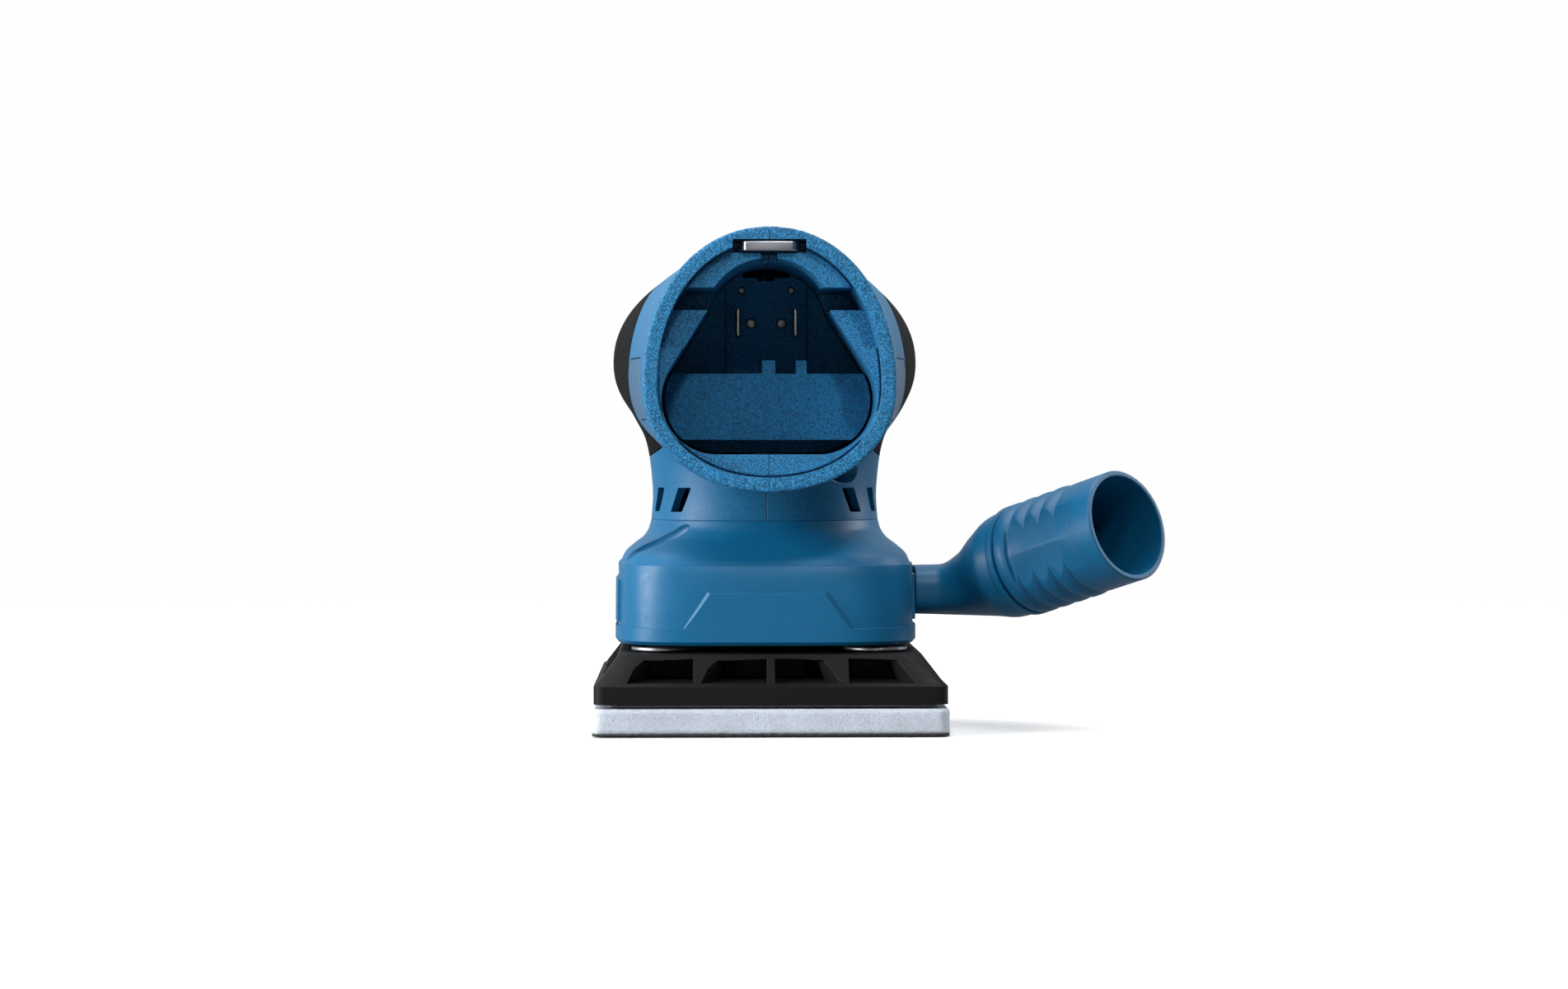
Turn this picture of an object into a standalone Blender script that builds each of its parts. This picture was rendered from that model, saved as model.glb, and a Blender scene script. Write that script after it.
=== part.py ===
"""Cordless palm-grip orbital sander, modelled as an assembly of separate pieces.

All driving dimensions are in millimetres and are scaled to metres when a mesh is made.
The origin lies on the motor's axis, in the plane of the sanding pad's lower face.
+Z is up, the battery bay opens towards -Y and the dust nozzle leaves towards +X.
"""
import math

import bmesh
import bpy
from mathutils import Matrix, Vector

MM = 0.001
GAP = 0.3                    # clearance between neighbouring pieces
SMOOTH_ANGLE = math.radians(35)

# Pad stack
ORBIT = 0.8                  # offset of the pad's axis from the motor's axis
PAD_SIZE = (101.0, 113.0)
PLATE_SIZE = (100.0, 112.0)
PLATE_TOP_SIZE = (86.0, 98.0)
BACKING_SIZE = (94.0, 106.0)
HOOK_TOP = 0.5
FOAM_TOP = 7.6
PLATE_BOTTOM = 8.8
PLATE_BAND_TOP = 13.9
PLATE_TOP = 22.5
RIB_SPACING = 21.0
HUB_RADIUS = 18.0
HUB_TOP = 24.4
DUST_HOLE_RADIUS = 4.5
DUST_HOLES = [(-36, -12), (-36, 12), (36, -12), (36, 12), (-12, -34), (12, -34), (-12, 34), (12, 34)]

# Drive train
SHAFT_RADIUS = 3.0
PIN_RADIUS = 5.7
PAD_BEARING_RADIUS = 14.0
PAD_BEARING_BOTTOM = 15.5
PAD_BEARING_TOP = 23.5
MOTOR_RADIUS = 18.0
MOTOR_BOTTOM = 66.5
MOTOR_TOP = 104.0
FAN_RADIUS = 28.0
FAN_BLADES = 9
ARMATURE_TEETH = 9

# Feet between the skirt and the sanding plate
FOOT_X = 30.5
FOOT_Y = 31.0
FOOT_DISC_RADIUS = 9.2
FOOT_DISC_TOP = 24.0
FOOT_POST_RADIUS = 2.1
FOOT_PATTERN_RADIUS = 4.2
CORNERS = [("rear_left", -1, -1), ("rear_right", 1, -1), ("front_left", -1, 1), ("front_right", 1, 1)]

# Skirt and neck
SKIRT_BOTTOM = 24.7
SKIRT_TOP = 59.7
NECK_BOTTOM = SKIRT_TOP + GAP
WALL = 3.0

# Battery bay
MOUTH_Y = -71.5
RIM_WIDTH = 4.3
RIM_DEPTH = 3.0
BAY_CORNER = (14.3, 94.5, 15.0)      # centre X, centre Z and radius of the lower corners
BAY_ARCH = (115.2, 18.3)             # centre Z and radius of the upper arch
BAY_BACK = -26.0
BAY_STEP_Y = -45.0
BAY_STEP = (83.2, 102.0)             # bottom and top height of the step
CAVITY_START = -21.7

# Fastenings
SIDE_SCREWS = [(-50, 74.6), (-27, 74), (31, 76), (2, 124)]           # Y and Z
PLATE_SCREWS = [(-18, -22), (18, -22), (-18, 27), (18, 27)]          # X and Y
SCREW_CORE_RADIUS = 1.45
SCREW_HOLE_RADIUS = 1.75

# Patches laid into the head's sides, as centre and size in Y and Z
GRIP_CENTRE = (4.0, 105.0)
GRIP_HALF = (38.0, 25.5)
GRIP_EXPONENT = 2.4
GRIP_THICKNESS = 1.9
GRIP_INNER_X = 18.0
BADGE_CENTRE = (-51.0, 97.5)
BADGE_SIZE = (24.0, 17.0)
BADGE_THICKNESS = 0.8

# Cooling vents in the neck
VENTS = [(24.3, -24.5, 48), (30.2, -14.5, 72)]      # X, Y and turn about Z in degrees, on the right side
VENT_HEIGHTS = (62.6, 69.2)
VENT_HALF_WIDTH = 2.4
VENT_LEAN = 1.6                      # how far the lower edge stands outward and the upper edge inward

# Rocker switch, in the sloping front of the head
ROCKER_CENTRE = Vector((0.0, 31.0, 119.6))
ROCKER_SLOPE = math.radians(41.5)
ROCKER_HALF = (8.5, 10.5)
ROCKER_PIVOT_DEPTH = 3.0
ROCKER_REST_TILT = math.radians(6)

# Dust outlet in the skirt's right side
PORT_Z = 38.9
PORT_HALF = (11.3, 6.3)
NOZZLE_RADIUS = 16.5
NOZZLE_WALL = 2.0
NOZZLE_MOUTH = Vector((102.5, -45.0, 59.0))
NOZZLE_AXIS = Vector((0.644, -0.714, 0.269)).normalized()

SECTION_POINTS = 32
PAD_TOOL_PREFIXES = ("plate_hub", "rib_pocket", "hub_seat", "dust_hole", "foot_screw_hole", "backing_hole")

# Head sections along Y: station, half width, centre height, top height, bottom height
HEAD_STATIONS = [
    (-71.5, 35.1, 98.0, 142.1, 68.7),
    (-60.0, 36.2, 99.3, 141.3, 69.4),
    (-45.0, 38.5, 101.0, 140.2, 71.0),
    (-25.0, 42.2, 103.8, 138.6, 74.0),
    (-3.0, 44.8, 106.0, 136.3, 78.0),
    (10.0, 44.0, 105.0, 132.5, 78.0),
    (22.0, 41.0, 103.0, 126.5, 78.0),
    (32.0, 36.0, 100.0, 119.0, 78.5),
    (40.0, 28.5, 96.5, 110.5, 80.0),
    (45.5, 18.5, 94.0, 103.0, 83.0),
    (48.0, 8.0, 93.0, 97.0, 88.0),
]
HEAD_EXPONENT = 2.1

# Plan sections along Z: height, half width, rear depth, front depth, exponent
NECK_STATIONS = [
    (NECK_BOTTOM, 33.6, 34.0, 40.0, 2.4),
    (67.0, 33.1, 33.5, 39.6, 2.4),
    (74.0, 33.6, 33.5, 39.8, 2.4),
    (79.4, 34.3, 34.5, 40.5, 2.4),
    (84.3, 35.5, 36.0, 42.0, 2.4),
    (89.0, 38.0, 38.0, 44.0, 2.4),
    (94.0, 40.5, 40.0, 45.5, 2.3),
    (100.0, 42.0, 40.0, 43.0, 2.2),
]
SKIRT_STATIONS = [
    (SKIRT_BOTTOM, 43.2, 44.7, 47.2, 4.4),
    (25.7, 44.0, 45.5, 48.0, 4.4),
    (44.1, 43.8, 45.2, 47.8, 4.4),
    (47.4, 43.1, 43.5, 46.6, 4.2),
    (50.1, 41.9, 42.0, 45.5, 3.8),
    (52.6, 39.0, 39.5, 43.7, 3.3),
    (55.0, 35.8, 36.5, 41.5, 2.8),
    (57.4, 34.3, 34.8, 40.4, 2.5),
    (SKIRT_TOP, 33.6, 34.0, 40.0, 2.4),
]
SKIRT_CAVITY = [
    (23.0, 41.8, 43.3, 45.8, 4.4),
    (43.4, 41.6, 43.0, 45.6, 4.4),
    (46.4, 40.4, 41.0, 44.0, 4.2),
    (49.0, 38.6, 39.2, 42.6, 3.8),
    (51.5, 35.6, 36.4, 40.6, 3.3),
    (54.0, 32.4, 33.4, 38.6, 2.8),
    (56.0, 31.0, 31.8, 37.4, 2.5),
    (61.0, 30.4, 31.0, 37.0, 2.4),
]


def clear_scene():
    for obj in list(bpy.data.objects):
        bpy.data.objects.remove(obj)


def material(name, colour, roughness, metallic=0.0):
    mat = bpy.data.materials.new(name)
    mat.use_nodes = True
    shader = mat.node_tree.nodes["Principled BSDF"]
    shader.inputs["Base Color"].default_value = (*colour, 1.0)
    shader.inputs["Roughness"].default_value = roughness
    shader.inputs["Metallic"].default_value = metallic
    return mat


def new_object(name, bm, mat):
    """Link a bmesh, drawn in millimetres, as an object in metres with its faces out."""
    bmesh.ops.scale(bm, vec=(MM, MM, MM), verts=bm.verts)
    bmesh.ops.recalc_face_normals(bm, faces=bm.faces)
    mesh = bpy.data.meshes.new(name)
    bm.to_mesh(mesh)
    bm.free()
    mesh.shade_smooth()
    mesh.set_sharp_from_angle(angle=SMOOTH_ANGLE)
    mesh.materials.append(mat)
    obj = bpy.data.objects.new(name, mesh)
    bpy.context.scene.collection.objects.link(obj)
    return obj


def loft(name, rings, mat):
    """A closed solid through rings of equal point count, with flat ends."""
    bm = bmesh.new()
    loops = [[bm.verts.new(point) for point in ring] for ring in rings]
    for low, high in zip(loops, loops[1:]):
        for i in range(len(low)):
            j = (i + 1) % len(low)
            bm.faces.new((low[i], low[j], high[j], high[i]))
    bm.faces.new(loops[0])
    bm.faces.new(loops[-1])
    return new_object(name, bm, mat)


def prism(name, outline, axis, low, high, mat):
    """Extrude a flat outline along X, Y or Z between two positions."""
    rings = []
    for along in (low, high):
        ring_points = [list(point) for point in outline]
        for coords in ring_points:
            coords.insert("XYZ".index(axis), along)
        rings.append(ring_points)
    return loft(name, rings, mat)


def box(name, low, high, mat):
    (x0, y0, z0), (x1, y1, z1) = low, high
    outline = [(x0, y0), (x1, y0), (x1, y1), (x0, y1)]
    return prism(name, outline, "Z", z0, z1, mat)


def turned(name, profile, mat, segments=32, closed=True):
    """Spin a profile of (radius, height) about Z; an open profile starts and ends on the axis."""
    bm = bmesh.new()
    verts = [bm.verts.new((radius, 0, height)) for radius, height in profile]
    edges = [bm.edges.new(pair) for pair in zip(verts, verts[1:])]
    if closed:
        edges.append(bm.edges.new((verts[-1], verts[0])))
    bmesh.ops.spin(bm, geom=verts + edges, cent=(0, 0, 0), axis=(0, 0, 1),
                   angle=math.tau, steps=segments)
    bmesh.ops.remove_doubles(bm, verts=bm.verts, dist=1e-4)
    return new_object(name, bm, mat)


def cylinder(name, radius, low, high, mat, segments=24):
    profile = [(0, low), (radius, low), (radius, high), (0, high)]
    return turned(name, profile, mat, segments, closed=False)


def ring(name, inner, outer, low, high, mat, segments=24):
    profile = [(inner, low), (outer, low), (outer, high), (inner, high)]
    return turned(name, profile, mat, segments)


def place(obj, x=0.0, y=0.0, z=0.0, rotation=(0.0, 0.0, 0.0)):
    obj.location = Vector((x, y, z)) * MM
    obj.rotation_euler = rotation
    return obj


def boolean(target, tool, operation):
    modifier = target.modifiers.new(tool.name, "BOOLEAN")
    modifier.operation = operation
    modifier.solver = "EXACT"
    modifier.object = tool
    tool.hide_render = True
    tool.display_type = "WIRE"


def cut(target, *tools):
    for tool in tools:
        boolean(target, tool, "DIFFERENCE")


def unite(target, *tools):
    for tool in tools:
        boolean(target, tool, "UNION")


def signed_power(value, exponent):
    return math.copysign(abs(value) ** exponent, value)


def superellipse(half_width, up, down, exponent, count=SECTION_POINTS):
    """Points of an egg-shaped outline round the origin, as (across, along) pairs."""
    points = []
    for i in range(count):
        angle = math.tau * i / count
        across = half_width * signed_power(math.cos(angle), 2 / exponent)
        along = signed_power(math.sin(angle), 2 / exponent)
        points.append((across, along * (up if along > 0 else down)))
    return points


def head_ring(station, inset=0.0):
    y, half_width, centre, top, bottom = station
    outline = superellipse(half_width - inset, top - centre - inset, centre - bottom - inset,
                           HEAD_EXPONENT)
    return [(x, y, centre + z) for x, z in outline]


def plan_ring(station, inset=0.0):
    z, half_width, rear, front, exponent = station
    outline = superellipse(half_width - inset, front - inset, rear - inset, exponent)
    return [(x, y, z) for x, y in outline]


def interpolate_station(stations, value):
    """The station at a given position, between its two neighbours in the list."""
    for low, high in zip(stations, stations[1:]):
        if low[0] <= value <= high[0]:
            t = (value - low[0]) / (high[0] - low[0])
            return tuple(a + (b - a) * t for a, b in zip(low, high))
    return stations[-1]


def rounded_rectangle(width, depth, radius, per_corner=4):
    points = []
    for quarter, (sx, sy) in enumerate([(1, 1), (-1, 1), (-1, -1), (1, -1)]):
        for i in range(per_corner + 1):
            angle = math.pi / 2 * (quarter + i / per_corner)
            x = sx * (width / 2 - radius) + radius * math.cos(angle)
            y = sy * (depth / 2 - radius) + radius * math.sin(angle)
            points.append((x, y))
    return points


def bay_outline(offset=0.0):
    """Rounded triangle that a three-cell battery slides into; a positive offset widens it."""
    corner_x, corner_z, corner_radius = BAY_CORNER
    arch_z, arch_radius = BAY_ARCH
    right = []
    for i in range(7):
        angle = math.radians(-90 + 118 * i / 6)
        radius = corner_radius + offset
        right.append((corner_x + radius * math.cos(angle), corner_z + radius * math.sin(angle)))
    arch = []
    for i in range(11):
        angle = math.radians(12 + 156 * i / 10)
        radius = arch_radius + offset
        arch.append((radius * math.cos(angle), arch_z + radius * math.sin(angle)))
    left = [(-x, z) for x, z in reversed(right)]
    return right + arch + left


def outer_form(name, inset, mat):
    """Head and neck as one solid, shrunk by an inset."""
    head = loft(name, [head_ring(s, inset) for s in HEAD_STATIONS], mat)
    neck = loft(name + "_neck", [plan_ring(s, inset) for s in NECK_STATIONS], mat)
    unite(head, neck)
    return head


def skin_patch(name, side, outline, thickness, mat):
    """A patch laid into the head's skin, with the cutter that makes room for it."""
    piece = outer_form(name, 0.0, mat)
    core = outer_form(name + "_core", thickness, mat)
    reach = sorted((side * GRIP_INNER_X, side * 60))
    region = prism(name + "_region", outline, "X", *reach, mat)
    boolean(piece, core, "DIFFERENCE")
    boolean(piece, region, "INTERSECT")

    room = loft(name + "_room", [head_ring(s, -2.0) for s in HEAD_STATIONS], mat)
    room_neck = loft(name + "_room_neck", [plan_ring(s, -2.0) for s in NECK_STATIONS], mat)
    unite(room, room_neck)
    deeper = outer_form(name + "_deeper", thickness + GAP, mat)
    centre_y = sum(p[0] for p in outline) / len(outline)
    centre_z = sum(p[1] for p in outline) / len(outline)
    wider = []
    for y, z in outline:
        arm = Vector((y - centre_y, z - centre_z))
        arm *= (arm.length + GAP * 1.3) / arm.length
        wider.append((centre_y + arm.x, centre_z + arm.y))
    reach = sorted((side * (GRIP_INNER_X - GAP), side * 70))
    room_region = prism(name + "_room_region", wider, "X", *reach, mat)
    boolean(room, deeper, "DIFFERENCE")
    boolean(room, room_region, "INTERSECT")
    return piece, room


def shifted(outline, centre):
    return [(a + centre[0], b + centre[1]) for a, b in outline]


def side_screw(index, y, z, mat, tool_mat):
    """A pan-head screw across the two halves, with its stepped hole."""
    core, hole = SCREW_CORE_RADIUS, SCREW_HOLE_RADIUS
    profile = [(0, -10.0), (core, -10.0), (core, 12.2), (2.9, 12.2), (2.9, 14.0), (2.2, 14.6), (0, 14.6)]
    screw = turned(f"housing_screw_{index}", profile, mat, 10, closed=False)
    place(screw, 0, y, z, (0, math.pi / 2, 0))
    room = [(0, -10.4), (hole, -10.4), (hole, 11.9), (3.3, 11.9), (3.3, 55), (0, 55)]
    tool = turned(f"screw_hole_{index}", room, tool_mat, 10, closed=False)
    place(tool, 0, y, z, (0, math.pi / 2, 0))
    return tool


def cross_boss(index, y, z, half_length, mat):
    boss = cylinder(f"cross_boss_{index}", 4.0, -half_length, half_length, mat, 16)
    return place(boss, 0, y, z, (0, math.pi / 2, 0))


def rocker_frame():
    """Turn local X, along-slope and outward directions onto the head's sloping front."""
    return Matrix.Rotation(-ROCKER_SLOPE, 3, "X")


def rocker_point(across, along, out):
    return ROCKER_CENTRE + rocker_frame() @ Vector((across, along, out))


def rocker_box(name, half, low, high, mat):
    corners = [(-half[0], -half[1]), (half[0], -half[1]), (half[0], half[1]), (-half[0], half[1])]
    rings = [[rocker_point(x, y, level) for x, y in corners] for level in (low, high)]
    return loft(name, rings, mat)


def battery_cutters(mat):
    rim = head_ring(HEAD_STATIONS[0], RIM_WIDTH)
    recess = prism("rim_recess", [(x, z) for x, y, z in rim], "Y", MOUTH_Y - 4, MOUTH_Y + RIM_DEPTH, mat)
    bay = prism("bay_hole", bay_outline(), "Y", MOUTH_Y - 4, CAVITY_START + 1.2, mat)
    strap_slot = box("strap_slot", (-10.2, MOUTH_Y - 6, 134.9), (10.2, -57, 138.5), mat)
    strap_neck = box("strap_neck", (-2.4, MOUTH_Y - 5, 128), (2.5, -58, 136), mat)
    tools = [recess, bay, strap_slot, strap_neck]
    pocket = [(19.5, 121.0), (23.5, 125.0), (28.0, 117.0), (29.8, 107.0), (28.5, 104.5)]
    for side in (-1, 1):
        outline = [(side * x, z) for x, z in pocket]
        tools.append(prism(f"latch_pocket_{side + 2}", outline, "Y", MOUTH_Y - 4, -48, mat))
    return tools


def vent_cutters(mat):
    tools = []
    bottom, top = VENT_HEIGHTS
    inner, outer = VENT_LEAN - VENT_HALF_WIDTH, VENT_LEAN + VENT_HALF_WIDTH
    outline = [(inner, bottom), (outer, bottom), (-inner, top), (-outer, top)]
    for side in (-1, 1):
        for slot, (x, y, turn) in enumerate(VENTS):
            tool = prism(f"vent_{side + 2}_{slot}", [(side * a, b) for a, b in outline], "Y", -9, 9, mat)
            tools.append(place(tool, side * x, y, 0, (0, 0, side * math.radians(turn))))
    return tools


def build_housing(mats):
    blue = mats["grained_blue"]
    shell = outer_form("housing_form", 0.0, blue)

    cavity_stations = [interpolate_station(HEAD_STATIONS, CAVITY_START)]
    cavity_stations += [s for s in HEAD_STATIONS if CAVITY_START < s[0] < 46]
    head_cavity = loft("head_cavity", [head_ring(s, WALL) for s in cavity_stations], blue)
    lower_cavity = [(58.0, 30.4, 31.0, 37.0, 2.4), (76.5, 30.6, 30.8, 36.9, 2.4)]
    throat_rear = -CAVITY_START - 0.5
    upper_cavity = [(76.0, 30.6, throat_rear, 36.9, 2.4), (88.0, 34.0, throat_rear, 40.0, 2.4)]
    neck_cavity = loft("neck_cavity", [plan_ring(s) for s in lower_cavity], blue)
    throat_cavity = loft("throat_cavity", [plan_ring(s) for s in upper_cavity], blue)
    cut(shell, head_cavity, neck_cavity, throat_cavity)

    bosses = []
    for index, half_length in ((2, 15.5), (3, 18), (4, 30)):
        bosses.append(cross_boss(index, *SIDE_SCREWS[index - 1], half_length, blue))
    for index, (x, y) in enumerate(PLATE_SCREWS, start=1):
        boss = cylinder(f"plate_boss_{index}", 4.5, NECK_BOTTOM + 0.6, 73, blue, 16)
        bosses.append(place(boss, x, y))
    unite(shell, *bosses)
    cut(shell, *battery_cutters(blue), *vent_cutters(blue))

    pocket_half = (ROCKER_HALF[0] + 0.4, ROCKER_HALF[1] + 0.9)
    cut(shell, rocker_box("rocker_pocket", pocket_half, -9, 12, blue))
    for index, (y, z) in enumerate(SIDE_SCREWS, start=1):
        cut(shell, side_screw(index, y, z, mats["steel"], blue))
    for index, (x, y) in enumerate(PLATE_SCREWS, start=1):
        hole = cylinder(f"plate_screw_hole_{index}", SCREW_HOLE_RADIUS, 55, 70.4, blue, 10)
        cut(shell, place(hole, x, y))

    patches = []
    oval = superellipse(GRIP_HALF[0], GRIP_HALF[1], GRIP_HALF[1], GRIP_EXPONENT, 24)
    grip_shape = shifted(oval, GRIP_CENTRE)
    badge_shape = shifted(rounded_rectangle(*BADGE_SIZE, 4, 3), BADGE_CENTRE)
    for side, word in ((-1, "left"), (1, "right")):
        patches.append(skin_patch(f"grip_{word}", side, grip_shape, GRIP_THICKNESS, mats["rubber"]))
        patches.append(skin_patch(f"badge_{word}", side, badge_shape, BADGE_THICKNESS, mats["label"]))
    cut(shell, *[room for piece, room in patches])

    for side, word in ((-1, "left"), (1, "right")):
        half = box(f"housing_{word}", (min(side * GAP / 2, side * 60), -90, 50),
                   (max(side * GAP / 2, side * 60), 70, 160), blue)
        boolean(half, shell, "INTERSECT")


def build_bay_pieces(mats):
    """The one-piece carrier at the back of the bay, with its contacts, and the steel strap."""
    inner = bay_outline(-GAP)
    carrier = prism("battery_carrier", inner, "Y", BAY_BACK, CAVITY_START + 0.8, mats["grained_blue"])
    step = prism("carrier_step", inner, "Y", BAY_STEP_Y, BAY_BACK + 1, mats["grained_blue"])
    above = box("carrier_step_limit", (-40, -60, BAY_STEP[1]), (40, 0, 150), mats["grained_blue"])
    below = box("carrier_step_base", (-40, -60, 60), (40, BAY_BACK - 1.5, BAY_STEP[0]), mats["grained_blue"])
    cut(step, above, below)
    flange = prism("carrier_flange", bay_outline(1.2), "Y", CAVITY_START + GAP, CAVITY_START + 2,
                   mats["grained_blue"])
    flange_limit = box("carrier_flange_limit", (-60, -40, 40), (60, 0, 88.5), mats["grained_blue"])
    cut(flange, flange_limit)
    unite(carrier, step, flange)
    for side in (-1, 1):
        groove = box(f"carrier_groove_{side + 2}", (side * 12 - 0.5, BAY_BACK - 5, 103),
                     (side * 12 + 0.5, BAY_BACK + 1.2, 127), mats["grained_blue"])
        cut(carrier, groove)

    for side, word in ((-1, "left"), (1, "right")):
        blade_low = (side * 8.2 - 0.4, BAY_BACK - 9, 113)
        blade_high = (side * 8.2 + 0.4, BAY_BACK + 3, 121)
        box(f"blade_terminal_{word}", blade_low, blade_high, mats["brass"])
        grow = Vector((GAP, GAP, GAP))
        cut(carrier, box(f"blade_slot_{word}", Vector(blade_low) - grow, Vector(blade_high) + grow,
                         mats["brass"]))
        for name, x, z, radius in (("contact_lower", 4.4, 117.0, 1.3), ("contact_upper", 7.2, 126.5, 0.9)):
            contact = cylinder(f"{name}_{word}", radius, -2.5, 0.4, mats["steel"], 12)
            place(contact, side * x, BAY_BACK, z, (math.pi / 2, 0, 0))
            seat = cylinder(f"{name}_seat_{word}", radius + GAP, -2.8, 1.0, mats["steel"], 12)
            place(seat, side * x, BAY_BACK, z, (math.pi / 2, 0, 0))
            cut(carrier, seat)

    bulge = []
    for i in range(9):
        x = -8.2 + 16.4 * i / 8
        bulge.append((x, MOUTH_Y + 0.3 + 1.6 * (x / 8.2) ** 2))
    outline = bulge + [(8.2, -57.6), (-8.2, -57.6)]
    prism("retainer_strap", outline, "Z", 135.3, 138.1, mats["polished_steel"])


def build_rocker(mats):
    tilt = Matrix.Rotation(ROCKER_REST_TILT, 3, "X")
    half_x, half_y = ROCKER_HALF
    outline = [(-half_y, -2.6), (half_y, -2.6), (half_y, 1.4), (half_y * 0.55, 1.0), (0, 0.0),
               (-half_y * 0.55, 1.0), (-half_y, 1.4)]
    rings = []
    for x in (-half_x, half_x):
        points = []
        for along, out in outline:
            local = tilt @ Vector((0, along, out + ROCKER_PIVOT_DEPTH))
            points.append(rocker_point(x, local.y, local.z - ROCKER_PIVOT_DEPTH))
        rings.append(points)
    rocker = loft("power_rocker", rings, mats["switch_black"])
    pivot = rocker_point(0, 0, -ROCKER_PIVOT_DEPTH)
    hang_on_empty("rocker_pivot", pivot, [rocker])

    rocker_box("switch_body", (6.5, 9.0), -18, -6, mats["matte_black"])


def build_motor(mats):
    steel = mats["steel"]
    can = [(16.3, MOTOR_BOTTOM), (MOTOR_RADIUS, MOTOR_BOTTOM), (MOTOR_RADIUS, MOTOR_TOP),
           (10.2, MOTOR_TOP), (10.2, MOTOR_TOP + 3.6), (8.3, MOTOR_TOP + 3.6), (8.3, MOTOR_TOP - 0.6),
           (4.0, MOTOR_TOP - 0.6), (4.0, MOTOR_TOP - 2), (16.3, MOTOR_TOP - 2)]
    turned("motor_can", can, steel, 28)
    ring("magnet_ring", 13.6, 16.0, 71, 97, mats["ferrite"], 24)
    ring("upper_bearing", SHAFT_RADIUS + GAP, 8.0, MOTOR_TOP - 0.3, MOTOR_TOP + 4, mats["bearing_steel"])
    ring("lower_bearing", SHAFT_RADIUS + GAP, 9.0, 57.3, 62.8, mats["bearing_steel"])

    plate = loft("bearing_plate", [plan_ring((56.2, 30.0, 30.7, 36.6, 2.4)),
                                   plan_ring((59.7, 30.0, 30.7, 36.6, 2.4))], mats["cast_aluminium"])
    cup = cylinder("bearing_cup", 12.0, 56.2, 63.4, mats["cast_aluminium"], 24)
    unite(plate, cup)
    seat = [(0, 50), (4.5, 50), (4.5, 57.0), (9.3, 57.0), (9.3, 66), (0, 66)]
    cut(plate, turned("bearing_seat", seat, mats["cast_aluminium"], 24, closed=False))
    core = SCREW_CORE_RADIUS
    profile = [(0, 53.5), (2.4, 53.5), (2.9, 54.1), (2.9, 55.9), (core, 55.9), (core, 70), (0, 70)]
    for index, (x, y) in enumerate(PLATE_SCREWS, start=1):
        hole = cylinder(f"plate_hole_{index}", SCREW_HOLE_RADIUS, 50, 66, steel, 10)
        cut(plate, place(hole, x, y))
        place(turned(f"plate_screw_{index}", profile, steel, 10, closed=False), x, y)

    shroud = [(15, 48.4), (33, 48.4), (33, 47.0), (34.2, 47.0), (34.2, 50.0), (15, 50.0)]
    turned("fan_shroud", shroud, mats["matte_black"], 28)
    box("control_board", (-15, 23.6, 82), (15, 25.2, 98), mats["circuit_board"])


def build_spindle(mats):
    shaft = cylinder("rotor_shaft", SHAFT_RADIUS, 28.6, 109.5, mats["steel"], 24)
    tooth = ((6.0, -0.34), (11.5, -0.26), (13.0, -0.42), (13.0, 0.42), (11.5, 0.26), (6.0, 0.34))
    core = []
    for i in range(ARMATURE_TEETH):
        for radius, turn in tooth:
            angle = math.tau * (i + turn) / ARMATURE_TEETH
            core.append((radius * math.cos(angle), radius * math.sin(angle)))
    armature = prism("armature", core, "Z", 72, 96, mats["laminated_steel"])
    bore = cylinder("armature_bore", SHAFT_RADIUS + GAP, 60, 110, mats["steel"])
    cut(armature, bore)

    blades = []
    for i in range(FAN_BLADES):
        for radius, turn in ((8.0, -0.12), (FAN_RADIUS - 1, -0.03), (FAN_RADIUS - 1, 0.03), (8.0, 0.12)):
            angle = math.tau * (i + turn) / FAN_BLADES
            blades.append((radius * math.cos(angle), radius * math.sin(angle)))
    fan = prism("fan", blades, "Z", 35.6, 45.0, mats["fan_plastic"])
    disc = cylinder("fan_disc", FAN_RADIUS, 44.6, 46.4, mats["fan_plastic"], 27)
    unite(fan, disc)
    cut(fan, cylinder("fan_bore", SHAFT_RADIUS + GAP, 30, 60, mats["steel"]))

    weight_outline = []
    for i in range(15):
        angle = math.radians(100 + 160 * i / 14)
        weight_outline.append((22 * math.cos(angle), 22 * math.sin(angle)))
    for i in range(9):
        angle = math.radians(-80 + 160 * i / 8)
        weight_outline.append((9 * math.cos(angle), 9 * math.sin(angle)))
    weight = prism("counterweight", weight_outline, "Z", 26.2, 35.0, mats["cast_steel"])
    pin = cylinder("eccentric_pin", PIN_RADIUS, PAD_BEARING_BOTTOM + 0.3, 27, mats["cast_steel"], 24)
    place(pin, ORBIT)
    unite(weight, pin)
    cut(weight, cylinder("weight_bore", SHAFT_RADIUS + GAP, 28.3, 60, mats["steel"]))
    hang_on_empty("spindle_axis", Vector((0, 0, 0)), [shaft, armature, fan, weight])


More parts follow.
